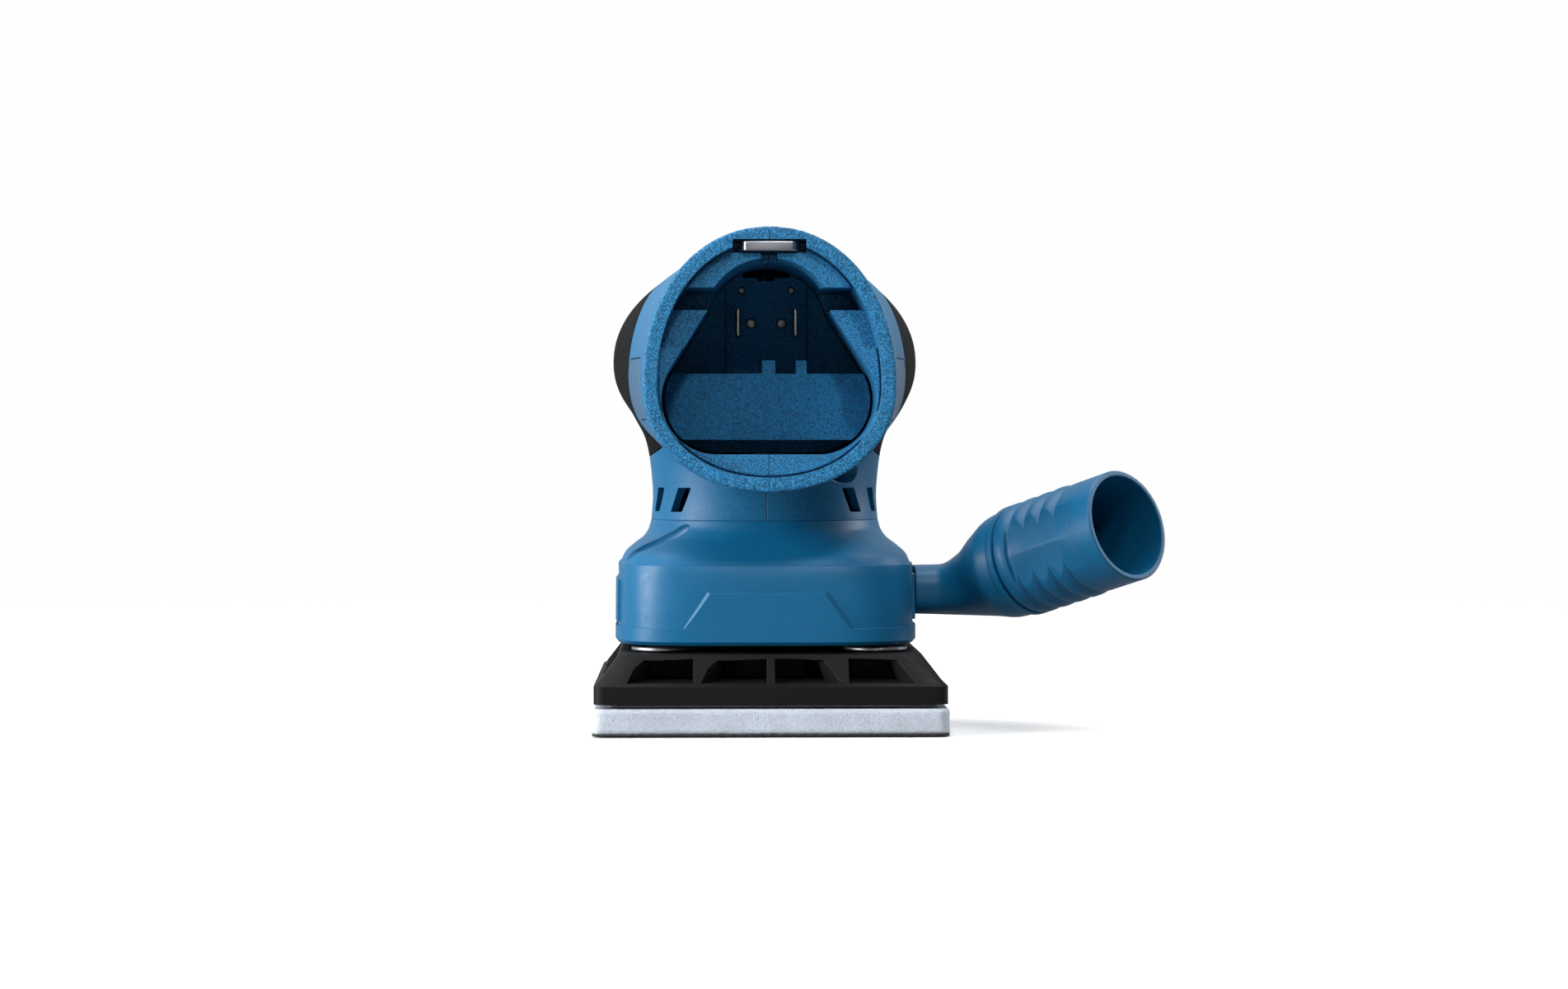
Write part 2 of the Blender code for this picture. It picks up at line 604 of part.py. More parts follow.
def build_plate(mats):
    plate_mat = mats["matte_black"]
    band = rounded_rectangle(*PLATE_SIZE, 3)
    step = rounded_rectangle(PLATE_SIZE[0] - 1.6, PLATE_SIZE[1] - 1.6, 3)
    top = rounded_rectangle(*PLATE_TOP_SIZE, 6)
    levels = [(band, PLATE_BOTTOM), (band, PLATE_BAND_TOP), (step, PLATE_BAND_TOP + 0.4), (top, PLATE_TOP)]
    plate = loft("sanding_plate", [[(x, y, z) for x, y in outline] for outline, z in levels], plate_mat)
    hub = cylinder("plate_hub", HUB_RADIUS, 15, HUB_TOP, plate_mat, 28)
    unite(plate, hub)
    for end in (-1, 1):
        for i in range(4):
            low = -2 * RIB_SPACING + i * RIB_SPACING + 1.6
            high = low + RIB_SPACING - 3.2
            pocket = pocket_between_ribs(f"rib_pocket_{end + 2}_{i}", low, high, end, plate_mat)
            cut(plate, pocket)
    seat = cylinder("hub_seat", PAD_BEARING_RADIUS + GAP, PAD_BEARING_BOTTOM - GAP, 40, plate_mat, 28)
    cut(plate, seat)
    return plate


def pocket_between_ribs(name, low, high, end, mat):
    """A trapezoid pocket, open to the front or rear, with a slanted back."""
    deep, shallow = 44.0, 47.5
    section = [(end * 70, 14.8), (end * shallow, 14.8), (end * deep, 21.4), (end * 70, 21.4)]
    return prism(name, section, "X", low, high, mat)


def build_pad(mats):
    plate = build_plate(mats)
    backing = slab("backing_plate", BACKING_SIZE, FOAM_TOP + GAP, PLATE_BOTTOM - GAP, mats["steel"])
    foam = slab("foam_pad", PAD_SIZE, HOOK_TOP + GAP, FOAM_TOP, mats["foam"])
    hook = slab("hook_layer", PAD_SIZE, 0.0, HOOK_TOP, mats["hook"])
    bearing = ring("eccentric_bearing", PIN_RADIUS + GAP, PAD_BEARING_RADIUS, PAD_BEARING_BOTTOM,
                   PAD_BEARING_TOP, mats["bearing_steel"], 28)
    pieces = [plate, backing, foam, hook, bearing]
    for index, (x, y) in enumerate(DUST_HOLES, start=1):
        hole = cylinder(f"dust_hole_{index}", DUST_HOLE_RADIUS, -5, 40, mats["foam"], 12)
        place(hole, x, y)
        for piece in (plate, backing, foam, hook):
            cut(piece, hole)
    for word, sx, sy in CORNERS:
        x, y = sx * FOOT_X, sy * FOOT_Y
        disc = ring(f"foot_disc_{word}", 1.8, FOOT_DISC_RADIUS, PLATE_TOP + GAP, FOOT_DISC_TOP,
                    mats["steel"], 20)
        profile = [(0, 9.2), (3.3, 9.2), (3.3, 11.4), (1.5, 12.6), (1.5, 23.8), (0, 23.8)]
        screw = turned(f"foot_screw_{word}", profile, mats["steel"], 10, closed=False)
        room = [(0, 4), (3.6, 4), (3.6, 11.6), (1.8, 12.9), (1.8, 40), (0, 40)]
        hole = turned(f"foot_screw_hole_{word}", room, mats["steel"], 10, closed=False)
        for obj in (disc, screw, hole):
            place(obj, x, y)
        cut(plate, hole)
        backing_hole = cylinder(f"backing_hole_{word}", 3.6, 7.7, 9, mats["steel"], 10)
        cut(backing, place(backing_hole, x, y))
        pieces += [disc, screw]
    for piece in pieces:
        piece.location.x += ORBIT * MM
    for obj in bpy.data.objects:
        if obj.hide_render and obj.name.startswith(PAD_TOOL_PREFIXES):
            obj.location.x += ORBIT * MM
    hang_on_empty("pad_axis", Vector((ORBIT, 0, 0)), pieces)


def slab(name, size, low, high, mat):
    return prism(name, rounded_rectangle(*size, 3), "Z", low, high, mat)


def build_feet(mats):
    """Flexible post bundles that hang from the skirt above the plate's steel discs."""
    for word, sx, sy in CORNERS:
        foot = cylinder(f"foot_posts_{word}", 6.3, 38.0, 41.0, mats["foot_rubber"], 16)
        place(foot, sx * FOOT_X, sy * FOOT_Y)
        for i in range(3):
            angle = math.atan2(-sy, -sx) + math.tau * i / 3
            post = cylinder(f"post_{word}_{i}", FOOT_POST_RADIUS, FOOT_DISC_TOP + GAP, 39.0,
                            mats["foot_rubber"], 10)
            place(post, sx * FOOT_X + FOOT_PATTERN_RADIUS * math.cos(angle),
                  sy * FOOT_Y + FOOT_PATTERN_RADIUS * math.sin(angle))
            unite(foot, post)


def build_skirt(mats):
    skirt = loft("base_skirt", [plan_ring(s) for s in SKIRT_STATIONS], mats["satin_blue"])
    cavity = loft("skirt_cavity", [plan_ring(s) for s in SKIRT_CAVITY], mats["satin_blue"])
    outline = [(y, PORT_Z + z) for y, z in superellipse(PORT_HALF[0], PORT_HALF[1], PORT_HALF[1], 3, 28)]
    port = prism("dust_port", outline, "X", 30, 60, mats["satin_blue"])
    cut(skirt, cavity, port)


def duct_ring(centre, direction, half_width, half_height, exponent):
    """An outline square to a direction, with its width level."""
    forward = Vector(direction).normalized()
    up = (Vector((0, 0, 1)) - forward * forward.z).normalized()
    side = up.cross(forward)
    outline = superellipse(half_width, half_height, half_height, exponent, 32)
    return [Vector(centre) + side * a + up * b for a, b in outline]


def build_adapter(mats):
    start = NOZZLE_MOUTH - NOZZLE_AXIS * 41.5
    stations = [
        ((37.5, 0, PORT_Z), (1, 0, 0), 10.0, 5.0, 3.0),
        ((44.2, 0, PORT_Z), (1, 0, 0), 10.0, 5.0, 3.0),
        ((44.4, 0, PORT_Z), (1, 0, 0), 12.5, 7.2, 3.0),
        ((52.0, -0.5, PORT_Z), (1, -0.12, 0.05), 12.5, 7.4, 2.8),
        ((60.0, -3.0, 40.6), (0.93, -0.32, 0.18), 13.2, 9.4, 2.5),
        ((67.0, -7.6, 43.6), (0.8, -0.53, 0.28), 14.8, 12.8, 2.2),
        ((72.0, -12.3, 46.2), (0.7, -0.66, 0.27), 16.0, 15.4, 2.0),
        (start, NOZZLE_AXIS, NOZZLE_RADIUS, NOZZLE_RADIUS, 2.0),
        (NOZZLE_MOUTH, NOZZLE_AXIS, NOZZLE_RADIUS, NOZZLE_RADIUS, 2.0),
    ]
    outer = [duct_ring(*s) for s in stations]
    adapter = loft("dust_adapter", outer, mats["satin_blue"])
    hollow_stations = [((x, 0, PORT_Z), (1, 0, 0), 8.2, 3.2, 3.0) for x in (35, 43.5)]
    for centre, direction, half_width, half_height, exponent in stations[3:-1]:
        width, height = half_width - NOZZLE_WALL, half_height - NOZZLE_WALL
        hollow_stations.append((centre, direction, width, height, exponent))
    beyond = NOZZLE_MOUTH + NOZZLE_AXIS * 3
    bore = NOZZLE_RADIUS - NOZZLE_WALL
    hollow_stations.append((beyond, NOZZLE_AXIS, bore, bore, 2.0))
    cut(adapter, loft("adapter_bore", [duct_ring(*s) for s in hollow_stations], mats["satin_blue"]))

    seal_outer = [(y, PORT_Z + z) for y, z in superellipse(11.0, 6.0, 6.0, 3, 28)]
    seal_inner = [(y, PORT_Z + z) for y, z in superellipse(10.3, 5.3, 5.3, 3, 28)]
    seal = prism("adapter_seal", seal_outer, "X", 41.9, 43.5, mats["rubber"])
    cut(seal, prism("seal_hole", seal_inner, "X", 40, 45, mats["rubber"]))
    hang_on_empty("adapter_axis", Vector((44.0, 0, PORT_Z)), [adapter, seal])


def hang_on_empty(name, position, pieces):
    """Parent pieces to an empty on their joint's axis, leaving them where they are."""
    empty = bpy.data.objects.new(name, None)
    empty.location = position * MM
    bpy.context.scene.collection.objects.link(empty)
    for piece in pieces:
        piece.parent = empty
        piece.matrix_parent_inverse = Matrix.Translation(-position * MM)


def make_materials():
    return {
        "grained_blue": material("grained_blue", (0.02, 0.11, 0.22), 0.6),
        "satin_blue": material("satin_blue", (0.02, 0.13, 0.26), 0.4),
        "rubber": material("rubber", (0.011, 0.012, 0.013), 0.75),
        "matte_black": material("matte_black", (0.011, 0.011, 0.012), 0.55),
        "switch_black": material("switch_black", (0.02, 0.02, 0.022), 0.4),
        "label": material("label", (0.05, 0.14, 0.24), 0.35),
        "foam": material("foam", (0.52, 0.57, 0.64), 0.95),
        "hook": material("hook", (0.012, 0.012, 0.013), 0.95),
        "steel": material("steel", (0.45, 0.46, 0.48), 0.35, 1.0),
        "polished_steel": material("polished_steel", (0.6, 0.61, 0.63), 0.18, 1.0),
        "bearing_steel": material("bearing_steel", (0.55, 0.56, 0.57), 0.22, 1.0),
        "cast_steel": material("cast_steel", (0.25, 0.25, 0.26), 0.55, 1.0),
        "cast_aluminium": material("cast_aluminium", (0.55, 0.56, 0.57), 0.5, 1.0),
        "laminated_steel": material("laminated_steel", (0.3, 0.3, 0.31), 0.45, 1.0),
        "ferrite": material("ferrite", (0.04, 0.04, 0.042), 0.7),
        "brass": material("brass", (0.72, 0.55, 0.25), 0.3, 1.0),
        "fan_plastic": material("fan_plastic", (0.05, 0.05, 0.05), 0.45),
        "foot_rubber": material("foot_rubber", (0.09, 0.09, 0.1), 0.6),
        "circuit_board": material("circuit_board", (0.02, 0.12, 0.05), 0.5),
    }


def main():
    clear_scene()
    mats = make_materials()
    build_housing(mats)
    build_bay_pieces(mats)
    build_rocker(mats)
    build_motor(mats)
    build_spindle(mats)
    build_pad(mats)
    build_feet(mats)
    build_skirt(mats)
    build_adapter(mats)


main()
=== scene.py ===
"""Visual model of a cordless palm-grip orbital sander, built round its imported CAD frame.

Shapes are drawn in millimetres and scaled to metres when a piece is finished. The frame's
origin lies on the motor's axis, in the plane of the pad's lower face. +Z is up, the battery
bay opens towards -Y and the dust nozzle leaves towards +X.
"""
import math

import bmesh
import bpy
import numpy as np
from mathutils import Matrix, Vector, noise


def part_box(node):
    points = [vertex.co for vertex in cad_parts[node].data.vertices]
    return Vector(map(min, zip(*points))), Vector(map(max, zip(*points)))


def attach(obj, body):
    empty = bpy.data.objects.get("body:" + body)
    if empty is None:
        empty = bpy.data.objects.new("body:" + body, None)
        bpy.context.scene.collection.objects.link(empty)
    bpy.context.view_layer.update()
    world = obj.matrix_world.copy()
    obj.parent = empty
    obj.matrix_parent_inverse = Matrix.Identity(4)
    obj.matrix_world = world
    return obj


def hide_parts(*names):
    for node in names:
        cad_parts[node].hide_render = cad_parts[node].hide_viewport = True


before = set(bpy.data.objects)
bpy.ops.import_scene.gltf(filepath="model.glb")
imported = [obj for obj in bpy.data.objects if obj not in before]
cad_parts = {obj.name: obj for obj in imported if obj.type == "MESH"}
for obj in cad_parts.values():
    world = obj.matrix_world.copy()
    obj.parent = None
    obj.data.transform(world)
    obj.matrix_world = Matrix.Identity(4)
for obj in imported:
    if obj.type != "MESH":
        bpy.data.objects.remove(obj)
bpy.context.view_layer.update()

MM = 0.001
GAP = 0.3
FINE = 0.62           # voxel of the moulded pieces
FORM = 1.1            # voxel of the casing's plain form
EDGE_RADIUS = 0.35                      # softening of edges by shading
SIDES = ((-1, "left"), (1, "right"))
CORNERS = {"rear_left": (-1, -1), "rear_right": (1, -1), "front_left": (-1, 1), "front_right": (1, 1)}
UPRIGHT_TO_BACK = Matrix.Rotation(math.pi / 2, 3, "X")

# Casing: position along Y, half width, centre height, top height, bottom height
HEAD_STATIONS = [
    (-71.5, 35.1, 98.0, 142.1, 68.7),
    (-60.0, 36.2, 99.3, 141.3, 69.4),
    (-45.0, 38.5, 101.0, 140.2, 71.0),
    (-25.0, 42.2, 103.8, 138.6, 74.0),
    (-3.0, 44.8, 106.0, 136.3, 78.0),
    (10.0, 44.0, 105.0, 132.5, 78.0),
    (22.0, 41.0, 103.0, 126.5, 78.0),
    (32.0, 36.0, 100.0, 119.0, 78.5),
    (40.0, 28.5, 96.5, 110.5, 80.0),
    (45.5, 18.5, 94.0, 103.0, 83.0),
    (48.0, 8.0, 93.0, 97.0, 88.0),
]
HEAD_EXPONENT = 2.1
HEAD_OVERRUN = -80.0
MOUTH = HEAD_STATIONS[0][0]

# Plan sections: height, half width, rear depth, front depth, exponent
NECK_STATIONS = [
    (54.0, 33.9, 34.3, 40.2, 2.4),
    (60.0, 33.6, 34.0, 40.0, 2.4),
    (67.0, 33.1, 33.5, 39.6, 2.4),
    (74.0, 33.6, 33.5, 39.8, 2.4),
    (79.4, 34.3, 34.5, 40.5, 2.4),
    (84.3, 35.5, 36.0, 42.0, 2.4),
    (89.0, 38.0, 38.0, 44.0, 2.4),
    (94.0, 40.5, 40.0, 45.5, 2.3),
    (100.0, 42.0, 40.0, 43.0, 2.2),
]
HEM_STATIONS = [
    (24.7, 43.2, 44.7, 47.2, 4.4),
    (25.7, 44.0, 45.5, 48.0, 4.4),
    (44.1, 43.8, 45.2, 47.8, 4.4),
]
SKIRT_STEP = 0.8                        # how far the skirt's body lies inside its hem
CHAMFER_TOP = (47.4, 43.1, 43.5, 46.6, 4.2)
SHOULDER_STATIONS = [
    (47.4, 42.5, 42.8, 46.0, 4.2),
    (50.1, 41.4, 41.4, 45.0, 3.8),
    (52.6, 38.8, 39.1, 43.4, 3.3),
    (55.0, 35.8, 36.4, 41.4, 2.8),
    (57.4, 34.3, 34.8, 40.4, 2.5),
    (59.94, 33.6, 34.0, 40.0, 2.4),
]
SKIRT_CAVITY = [
    (23.0, 41.8, 43.3, 45.8, 4.4),
    (43.4, 41.6, 43.0, 45.6, 4.4),
    (46.4, 40.4, 41.0, 44.0, 4.2),
    (49.0, 38.6, 39.2, 42.6, 3.8),
    (51.5, 35.6, 36.4, 40.6, 3.3),
    (54.0, 32.4, 33.4, 38.6, 2.8),
    (56.0, 31.0, 31.8, 37.4, 2.5),
    (61.0, 30.4, 31.0, 37.0, 2.4),
]
SCALLOP_ENDS = Vector((-24.0, -28.5, 57.6)), Vector((-41.0, -27.5, 50.0))
SCALLOP_RADIUS = 3.1
NECK_BOTTOM = 60.0
WALL = 3.0
VENTS = [(24.3, -24.5, 48), (30.2, -14.5, 72)]      # X, Y and turn of each slot on the right
VENT_HEIGHTS = (62.4, 69.4)
VENT_HALF_WIDTH, VENT_LEAN = 2.5, 1.6
SEAM = 0.07                             # half of the gap between the casing's halves

# Battery bay
RIM_WIDTH = 4.0
RIM_DEPTH = 3.0
BAY_CORNER = (14.5, 94.5, 15.4)
BAY_ARCH = (115.2, 18.3)
ARCH_TAPER = 0.6                        # how much the bay's arch narrows behind its front edge
BAY_BACK = -26.0
BAY_STEP_Y = -45.0
BAY_STEP = (83.2, 102.0)
CAVITY_START = -21.7
LATCH_WINDOW = [(10.0, 125.3), (40.0, 125.3), (40.0, 119.3), (12.0, 119.3)]
SIDE_RAIL = [(12.0, 119.5), (40.0, 119.5), (40.0, 108.6), (21.0, 108.6)]
RAIL_DEPTH = 9.5
GROOVE_X, GROOVE_HALF_WIDTH = 11.7, 0.35
TABS = [(-1.6, 2.2), (8.0, 11.1)]       # X ranges of the tabs on the step
TAB_TOP = 105.8
STRAP_SLOT = (10.2, 134.9, 138.5)       # half width, bottom and top
STRAP_THICKNESS = 1.2

# Grips and badges, as (Y, Z) outlines on the head's sides
GRIP_CENTRE, GRIP_HALF = (1.5, 105.0), (40.5, 26.5)
GRIP_EXPONENT = 2.4
GRIP_THICKNESS = 1.9
BADGE_CENTRE, BADGE_SIZE, BADGE_CORNER = (-51.0, 97.5), (24.0, 17.0), 4.0
BADGE_THICKNESS = 0.8
SKIN_INNER_X = 18.0                     # grips and badges end this far from the seam

# Rocker switch
ROCKER_CENTRE = Vector((0.0, 31.0, 119.6))
ROCKER_SLOPE = math.radians(41.5)
ROCKER_HALF = (8.5, 10.5)
ROCKER_PIVOT_DEPTH = 3.0
ROCKER_REST_TILT = math.radians(6)

# Side screws as (Y, Z), and the plate screws as (X, Y)
SIDE_SCREWS = [(-50, 74.6), (-27, 74), (31, 76), (2, 124)]
SIDE_BOSSES = [(1, 15.5), (2, 18.0), (3, 30.0)]     # screw's index and the boss's half length
PLATE_SCREWS = [(-18, -22), (18, -22), (-18, 27), (18, 27)]
BOSS_RADIUS, PLATE_BOSS_RADIUS, PILOT_RADIUS = 4.0, 4.5, 1.75

# Dust outlet
PORT_Z = 38.9
PORT_HALF = (11.3, 6.3)
NOZZLE_RADIUS = 16.5
NOZZLE_WALL = 2.0
NOZZLE_LENGTH = 41.5
NOZZLE_MOUTH = Vector((102.5, -45.0, 59.0))
NOZZLE_AXIS = Vector((0.644, -0.714, 0.269)).normalized()
NOZZLE_START = NOZZLE_MOUTH - NOZZLE_AXIS * NOZZLE_LENGTH
DUCT_STATIONS = [                       # centre, direction, half width, half height, exponent
    ((44.4, 0, PORT_Z), (1, 0, 0), 12.5, 7.2, 3.0),
    ((52.0, -0.5, PORT_Z), (1, -0.12, 0.05), 12.5, 7.4, 2.8),
    ((60.0, -3.0, 40.6), (0.93, -0.32, 0.18), 13.2, 9.4, 2.5),
    ((67.0, -7.6, 43.6), (0.8, -0.53, 0.28), 14.8, 12.8, 2.2),
    ((72.0, -12.3, 46.2), (0.7, -0.66, 0.27), 16.0, 15.4, 2.0),
    (tuple(NOZZLE_START), tuple(NOZZLE_AXIS), 15.9, 15.9, 2.0),
]
RIB_PITCH = 6.1
RIBS_FROM, RIBS_TO = 2.8, 27.2
RIB_VALLEY = 14.95
COLLAR_RADIUS = 15.6
FLAT_RIDGE, FLAT_EDGE = 15.12, 12.7     # distances from the axis at the flats' middle and sides
BORE_RADIUS = NOZZLE_RADIUS - NOZZLE_WALL
BORE_TAPER = 0.7

# Pad
ORBIT = 0.8
RIB_SPACING = 20.8
RIB_THICKNESS = 2.3
POCKET_LEVELS = [                       # distance along Y, slant, floor and roof
    (58, 0.0, 14.7, 21.9),
    (54.6, 0.0, 14.7, 21.9),
    (48.5, 4.2, 15.1, 21.2),
    (38, 4.8, 15.4, 20.6),
]
HUB_RADIUS, HUB_SEAT_RADIUS, HUB_FLOOR = 18.0, 14.3, 15.2
PAD_CORNER = 3.0
DUST_HOLE_RADIUS = 4.5
HOOK_TOP = 0.5
DUST_HOLES = [(-36, -12), (-36, 12), (36, -12), (36, 12), (-12, -34), (12, -34), (-12, 34), (12, 34)]
FOOT_X, FOOT_Y = 30.5, 31.0
POSTS_PER_FOOT = 3
POST_CIRCLE = 4.2


# ---------------------------------------------------------------- mesh helpers

def node_box(name):
    """Lowest and highest corner of a CAD node, in millimetres."""
    low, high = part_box(name)
    return low / MM, high / MM


def new_object(bm, name="solid"):
    bmesh.ops.recalc_face_normals(bm, faces=bm.faces)
    mesh = bpy.data.meshes.new(name)
    bm.to_mesh(mesh)
    bm.free()
    obj = bpy.data.objects.new(name, mesh)
    bpy.context.scene.collection.objects.link(obj)
    return obj


def loft(rings, closed=False):
    """A solid through rings of equal point count; a closed loft joins its last ring to its first."""
    bm = bmesh.new()
    loops = [[bm.verts.new(point) for point in ring] for ring in rings]
    pairs = list(zip(loops, loops[1:]))
    if closed:
        pairs.append((loops[-1], loops[0]))
    for low, high in pairs:
        for i in range(len(low)):
            j = (i + 1) % len(low)
            bm.faces.new((low[i], low[j], high[j], high[i]))
    if not closed:
        bm.faces.new(loops[0])
        bm.faces.new(loops[-1])
    return new_object(bm)


def prism(outline, axis, low, high):
    """Extrude a flat outline along X, Y or Z between two positions."""
    def lift(point, along):
        coords = list(point)
        coords.insert("XYZ".index(axis), along)
        return coords
    return loft([[lift(p, low) for p in outline], [lift(p, high) for p in outline]])


def box(low, high):
    (x0, y0, z0), (x1, y1, z1) = low, high
    return prism([(x0, y0), (x1, y0), (x1, y1), (x0, y1)], "Z", z0, z1)


def turned(profile, segments=48, closed=False):
    """Spin a profile of (radius, height) about Z; an open profile starts and ends on the axis."""
    bm = bmesh.new()
    verts = [bm.verts.new((radius, 0, height)) for radius, height in profile]
    edges = [bm.edges.new(pair) for pair in zip(verts, verts[1:])]
    if closed:
        edges.append(bm.edges.new((verts[-1], verts[0])))
    bmesh.ops.spin(bm, geom=verts + edges, cent=(0, 0, 0), axis=(0, 0, 1), angle=math.tau,
                   steps=segments)
    bmesh.ops.remove_doubles(bm, verts=bm.verts, dist=1e-4)
    return new_object(bm)


def cylinder(radius, low, high, segments=48):
    return turned([(0, low), (radius, low), (radius, high), (0, high)], segments)


def moved(obj, x=0.0, y=0.0, z=0.0, turn=None):
    """Move a piece's mesh, after an optional turn about the origin."""
    if turn is not None:
        obj.data.transform(turn.to_4x4())
    obj.data.transform(Matrix.Translation((x, y, z)))
    return obj


def duplicate(obj):
    copy = obj.copy()
    copy.data = obj.data.copy()
    bpy.context.scene.collection.objects.link(copy)
    return copy


def discard(*objs):
    for obj in objs:
        mesh = obj.data
        bpy.data.objects.remove(obj)
        bpy.data.meshes.remove(mesh)


def apply_modifiers(obj):
    graph = bpy.context.evaluated_depsgraph_get()
    mesh = bpy.data.meshes.new_from_object(obj.evaluated_get(graph))
    old = obj.data
    obj.modifiers.clear()
    obj.data = mesh
    bpy.data.meshes.remove(old)
    return obj


def combine(target, operation, *tools, keep=False):
    for tool in tools:
        modifier = target.modifiers.new("combine", "BOOLEAN")
        modifier.operation = operation
        modifier.solver = "MANIFOLD"
        modifier.object = tool
    apply_modifiers(target)
    if not keep:
        discard(*tools)
    return target


def cut(target, *tools):
    return combine(target, "DIFFERENCE", *tools)


def unite(target, *tools):
    return combine(target, "UNION", *tools)


def remesh(obj, voxel, smoothing):
    """Rebuild a solid from voxels and relax it, which rounds its edges and inner corners."""
    modifier = obj.modifiers.new("voxels", "REMESH")
    modifier.mode = "VOXEL"
    modifier.voxel_size = voxel
    if smoothing:
        relax = obj.modifiers.new("relax", "SMOOTH")
        relax.factor = 0.5
        relax.iterations = smoothing
    return apply_modifiers(obj)


def thin_out(obj, triangles):
    """Collapse a dense mesh to about this many triangles, most of them taken from its flats."""
    count = sum(len(p.vertices) - 2 for p in obj.data.polygons)
    if count > triangles:
        modifier = obj.modifiers.new("thin", "DECIMATE")
        modifier.ratio = triangles / count
        apply_modifiers(obj)
    return obj


def bevel(obj, width, segments=3, angle=30):
    modifier = obj.modifiers.new("bevel", "BEVEL")
    modifier.width = width
    modifier.segments = segments
    modifier.limit_method = "ANGLE"
    modifier.angle_limit = math.radians(angle)
    return apply_modifiers(obj)


def surface(mesh):
    """A mesh's points and their normals, as two arrays of rows."""
    rows = np.empty((2, len(mesh.vertices) * 3), np.float32)
    mesh.vertices.foreach_get("co", rows[0])
    mesh.vertex_normals.foreach_get("vector", rows[1])
    return rows.reshape(2, -1, 3)


def place_points(mesh, points):
    mesh.vertices.foreach_set("co", points.astype(np.float32).ravel())
    mesh.update()


def swollen(form, distance):
    """A copy of a smooth form, grown or shrunk along its normals."""
    copy = duplicate(form)
    points, normals = surface(copy.data)
    place_points(copy.data, points + normals * distance)
    return remesh(copy, FORM, 1)


def ripple(obj, depth, scale):
    """Push a mesh's points along their normals by smooth noise, for a hand-cut look."""
    points, normals = surface(obj.data)
    waves = np.array([noise.noise(Vector(point) * scale) - 0.35 for point in points])
    place_points(obj.data, points + normals * (depth * waves)[:, None])
    return obj


def finish_piece(obj, name, body, mat, slot, *nodes, sharp=40):
    """Name a piece, scale it to metres, paint it, and hang it on its body in place of CAD nodes."""
    obj.name = name
    mesh = obj.data
    mesh.name = name
    mesh.transform(Matrix.Scale(MM, 4))
    mesh.materials.clear()
    mesh.materials.append(mat)
    mesh.shade_smooth()
    if sharp:
        mesh.set_sharp_from_angle(angle=math.radians(sharp))
    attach(obj, body)
    if nodes:
        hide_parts(*nodes)
    return obj


# ---------------------------------------------------------------- outlines

def signed_power(values, exponent):
    return np.sign(values) * np.abs(values) ** exponent


def superellipse(half_width, up, down, exponent, count=144):
    """Points of an egg-shaped outline round the origin, as an array of (across, along)."""
    angles = np.linspace(0, math.tau, count, endpoint=False)
    across = half_width * signed_power(np.cos(angles), 2 / exponent)
    along = signed_power(np.sin(angles), 2 / exponent)
    along = np.where(along > 0, along * up, along * down)
    return np.column_stack([across, along])


def smooth_table(stations, positions):
    """Rows at new positions, on smooth curves through the stations that don't overshoot."""
    table = np.array(stations, float)
    x, y = table[:, 0], table[:, 1:]
    slopes = np.diff(y, axis=0) / np.diff(x)[:, None]
    tangents = np.zeros_like(y)
    tangents[0], tangents[-1] = slopes[0], slopes[-1]
    product = slopes[:-1] * slopes[1:]
    total = np.where(product > 0, slopes[:-1] + slopes[1:], 1.0)
    tangents[1:-1] = np.where(product > 0, 2 * product / total, 0.0)
    rows = []
    for position in positions:
        i = int(np.clip(np.searchsorted(x, position) - 1, 0, len(x) - 2))
        width = x[i + 1] - x[i]
        t = (position - x[i]) / width
        if t < 0:
            rows.append((position, *(y[0] + tangents[0] * (position - x[0]))))
            continue
        value = ((2 * t**3 - 3 * t**2 + 1) * y[i] + (t**3 - 2 * t**2 + t) * width * tangents[i]
                 + (3 * t**2 - 2 * t**3) * y[i + 1] + (t**3 - t**2) * width * tangents[i + 1])
        rows.append((position, *value))
    return rows


def head_ring(station, inset=0.0):
    y, half_width, centre, top, bottom = station
    outline = superellipse(half_width - inset, top - centre - inset, centre - bottom - inset,
                           HEAD_EXPONENT)
    return [(x, y, centre + z) for x, z in outline]


def plan_ring(station):
    z, half_width, rear, front, exponent = station
    outline = superellipse(half_width, front, rear, exponent)
    return [(x, y, z) for x, y in outline]


def plan_rings(stations):
    return [plan_ring(row) for row in stations]


def rim_prism(inset, depth):
    """The mouth's outline, drawn in by an inset, from in front of the mouth to a depth behind it."""
    outline = [(x, z) for x, _, z in head_ring(HEAD_STATIONS[0], inset)]
    return prism(outline, "Y", MOUTH - 6, MOUTH + depth)


def rounded_rectangle(width, depth, radius, per_corner=8, centre=(0.0, 0.0)):
    points = []
    for quarter, (sx, sy) in enumerate([(1, 1), (-1, 1), (-1, -1), (1, -1)]):
        for i in range(per_corner + 1):
            angle = math.pi / 2 * (quarter + i / per_corner)
            x = sx * (width / 2 - radius) + radius * math.cos(angle)
            y = sy * (depth / 2 - radius) + radius * math.sin(angle)
            points.append((centre[0] + x, centre[1] + y))
    return points


def eased(points, radius, steps=4):
    """Round an outline's corners."""
    ring = [Vector(point) for point in points]
    outline = []
    for before, corner, after in zip(ring[-1:] + ring[:-1], ring, ring[1:] + ring[:1]):
        start = corner + (before - corner).normalized() * radius
        end = corner + (after - corner).normalized() * radius
        for t in np.linspace(0, 1, steps + 1):
            outline.append(tuple(start.lerp(corner, t).lerp(corner.lerp(end, t), t)))
    return outline


def oval(centre, half, grow=0.0, exponent=2.0, count=96):
    outline = superellipse(half[0] + grow, half[1] + grow, half[1] + grow, exponent, count)
    return [(centre[0] + a, centre[1] + b) for a, b in outline]


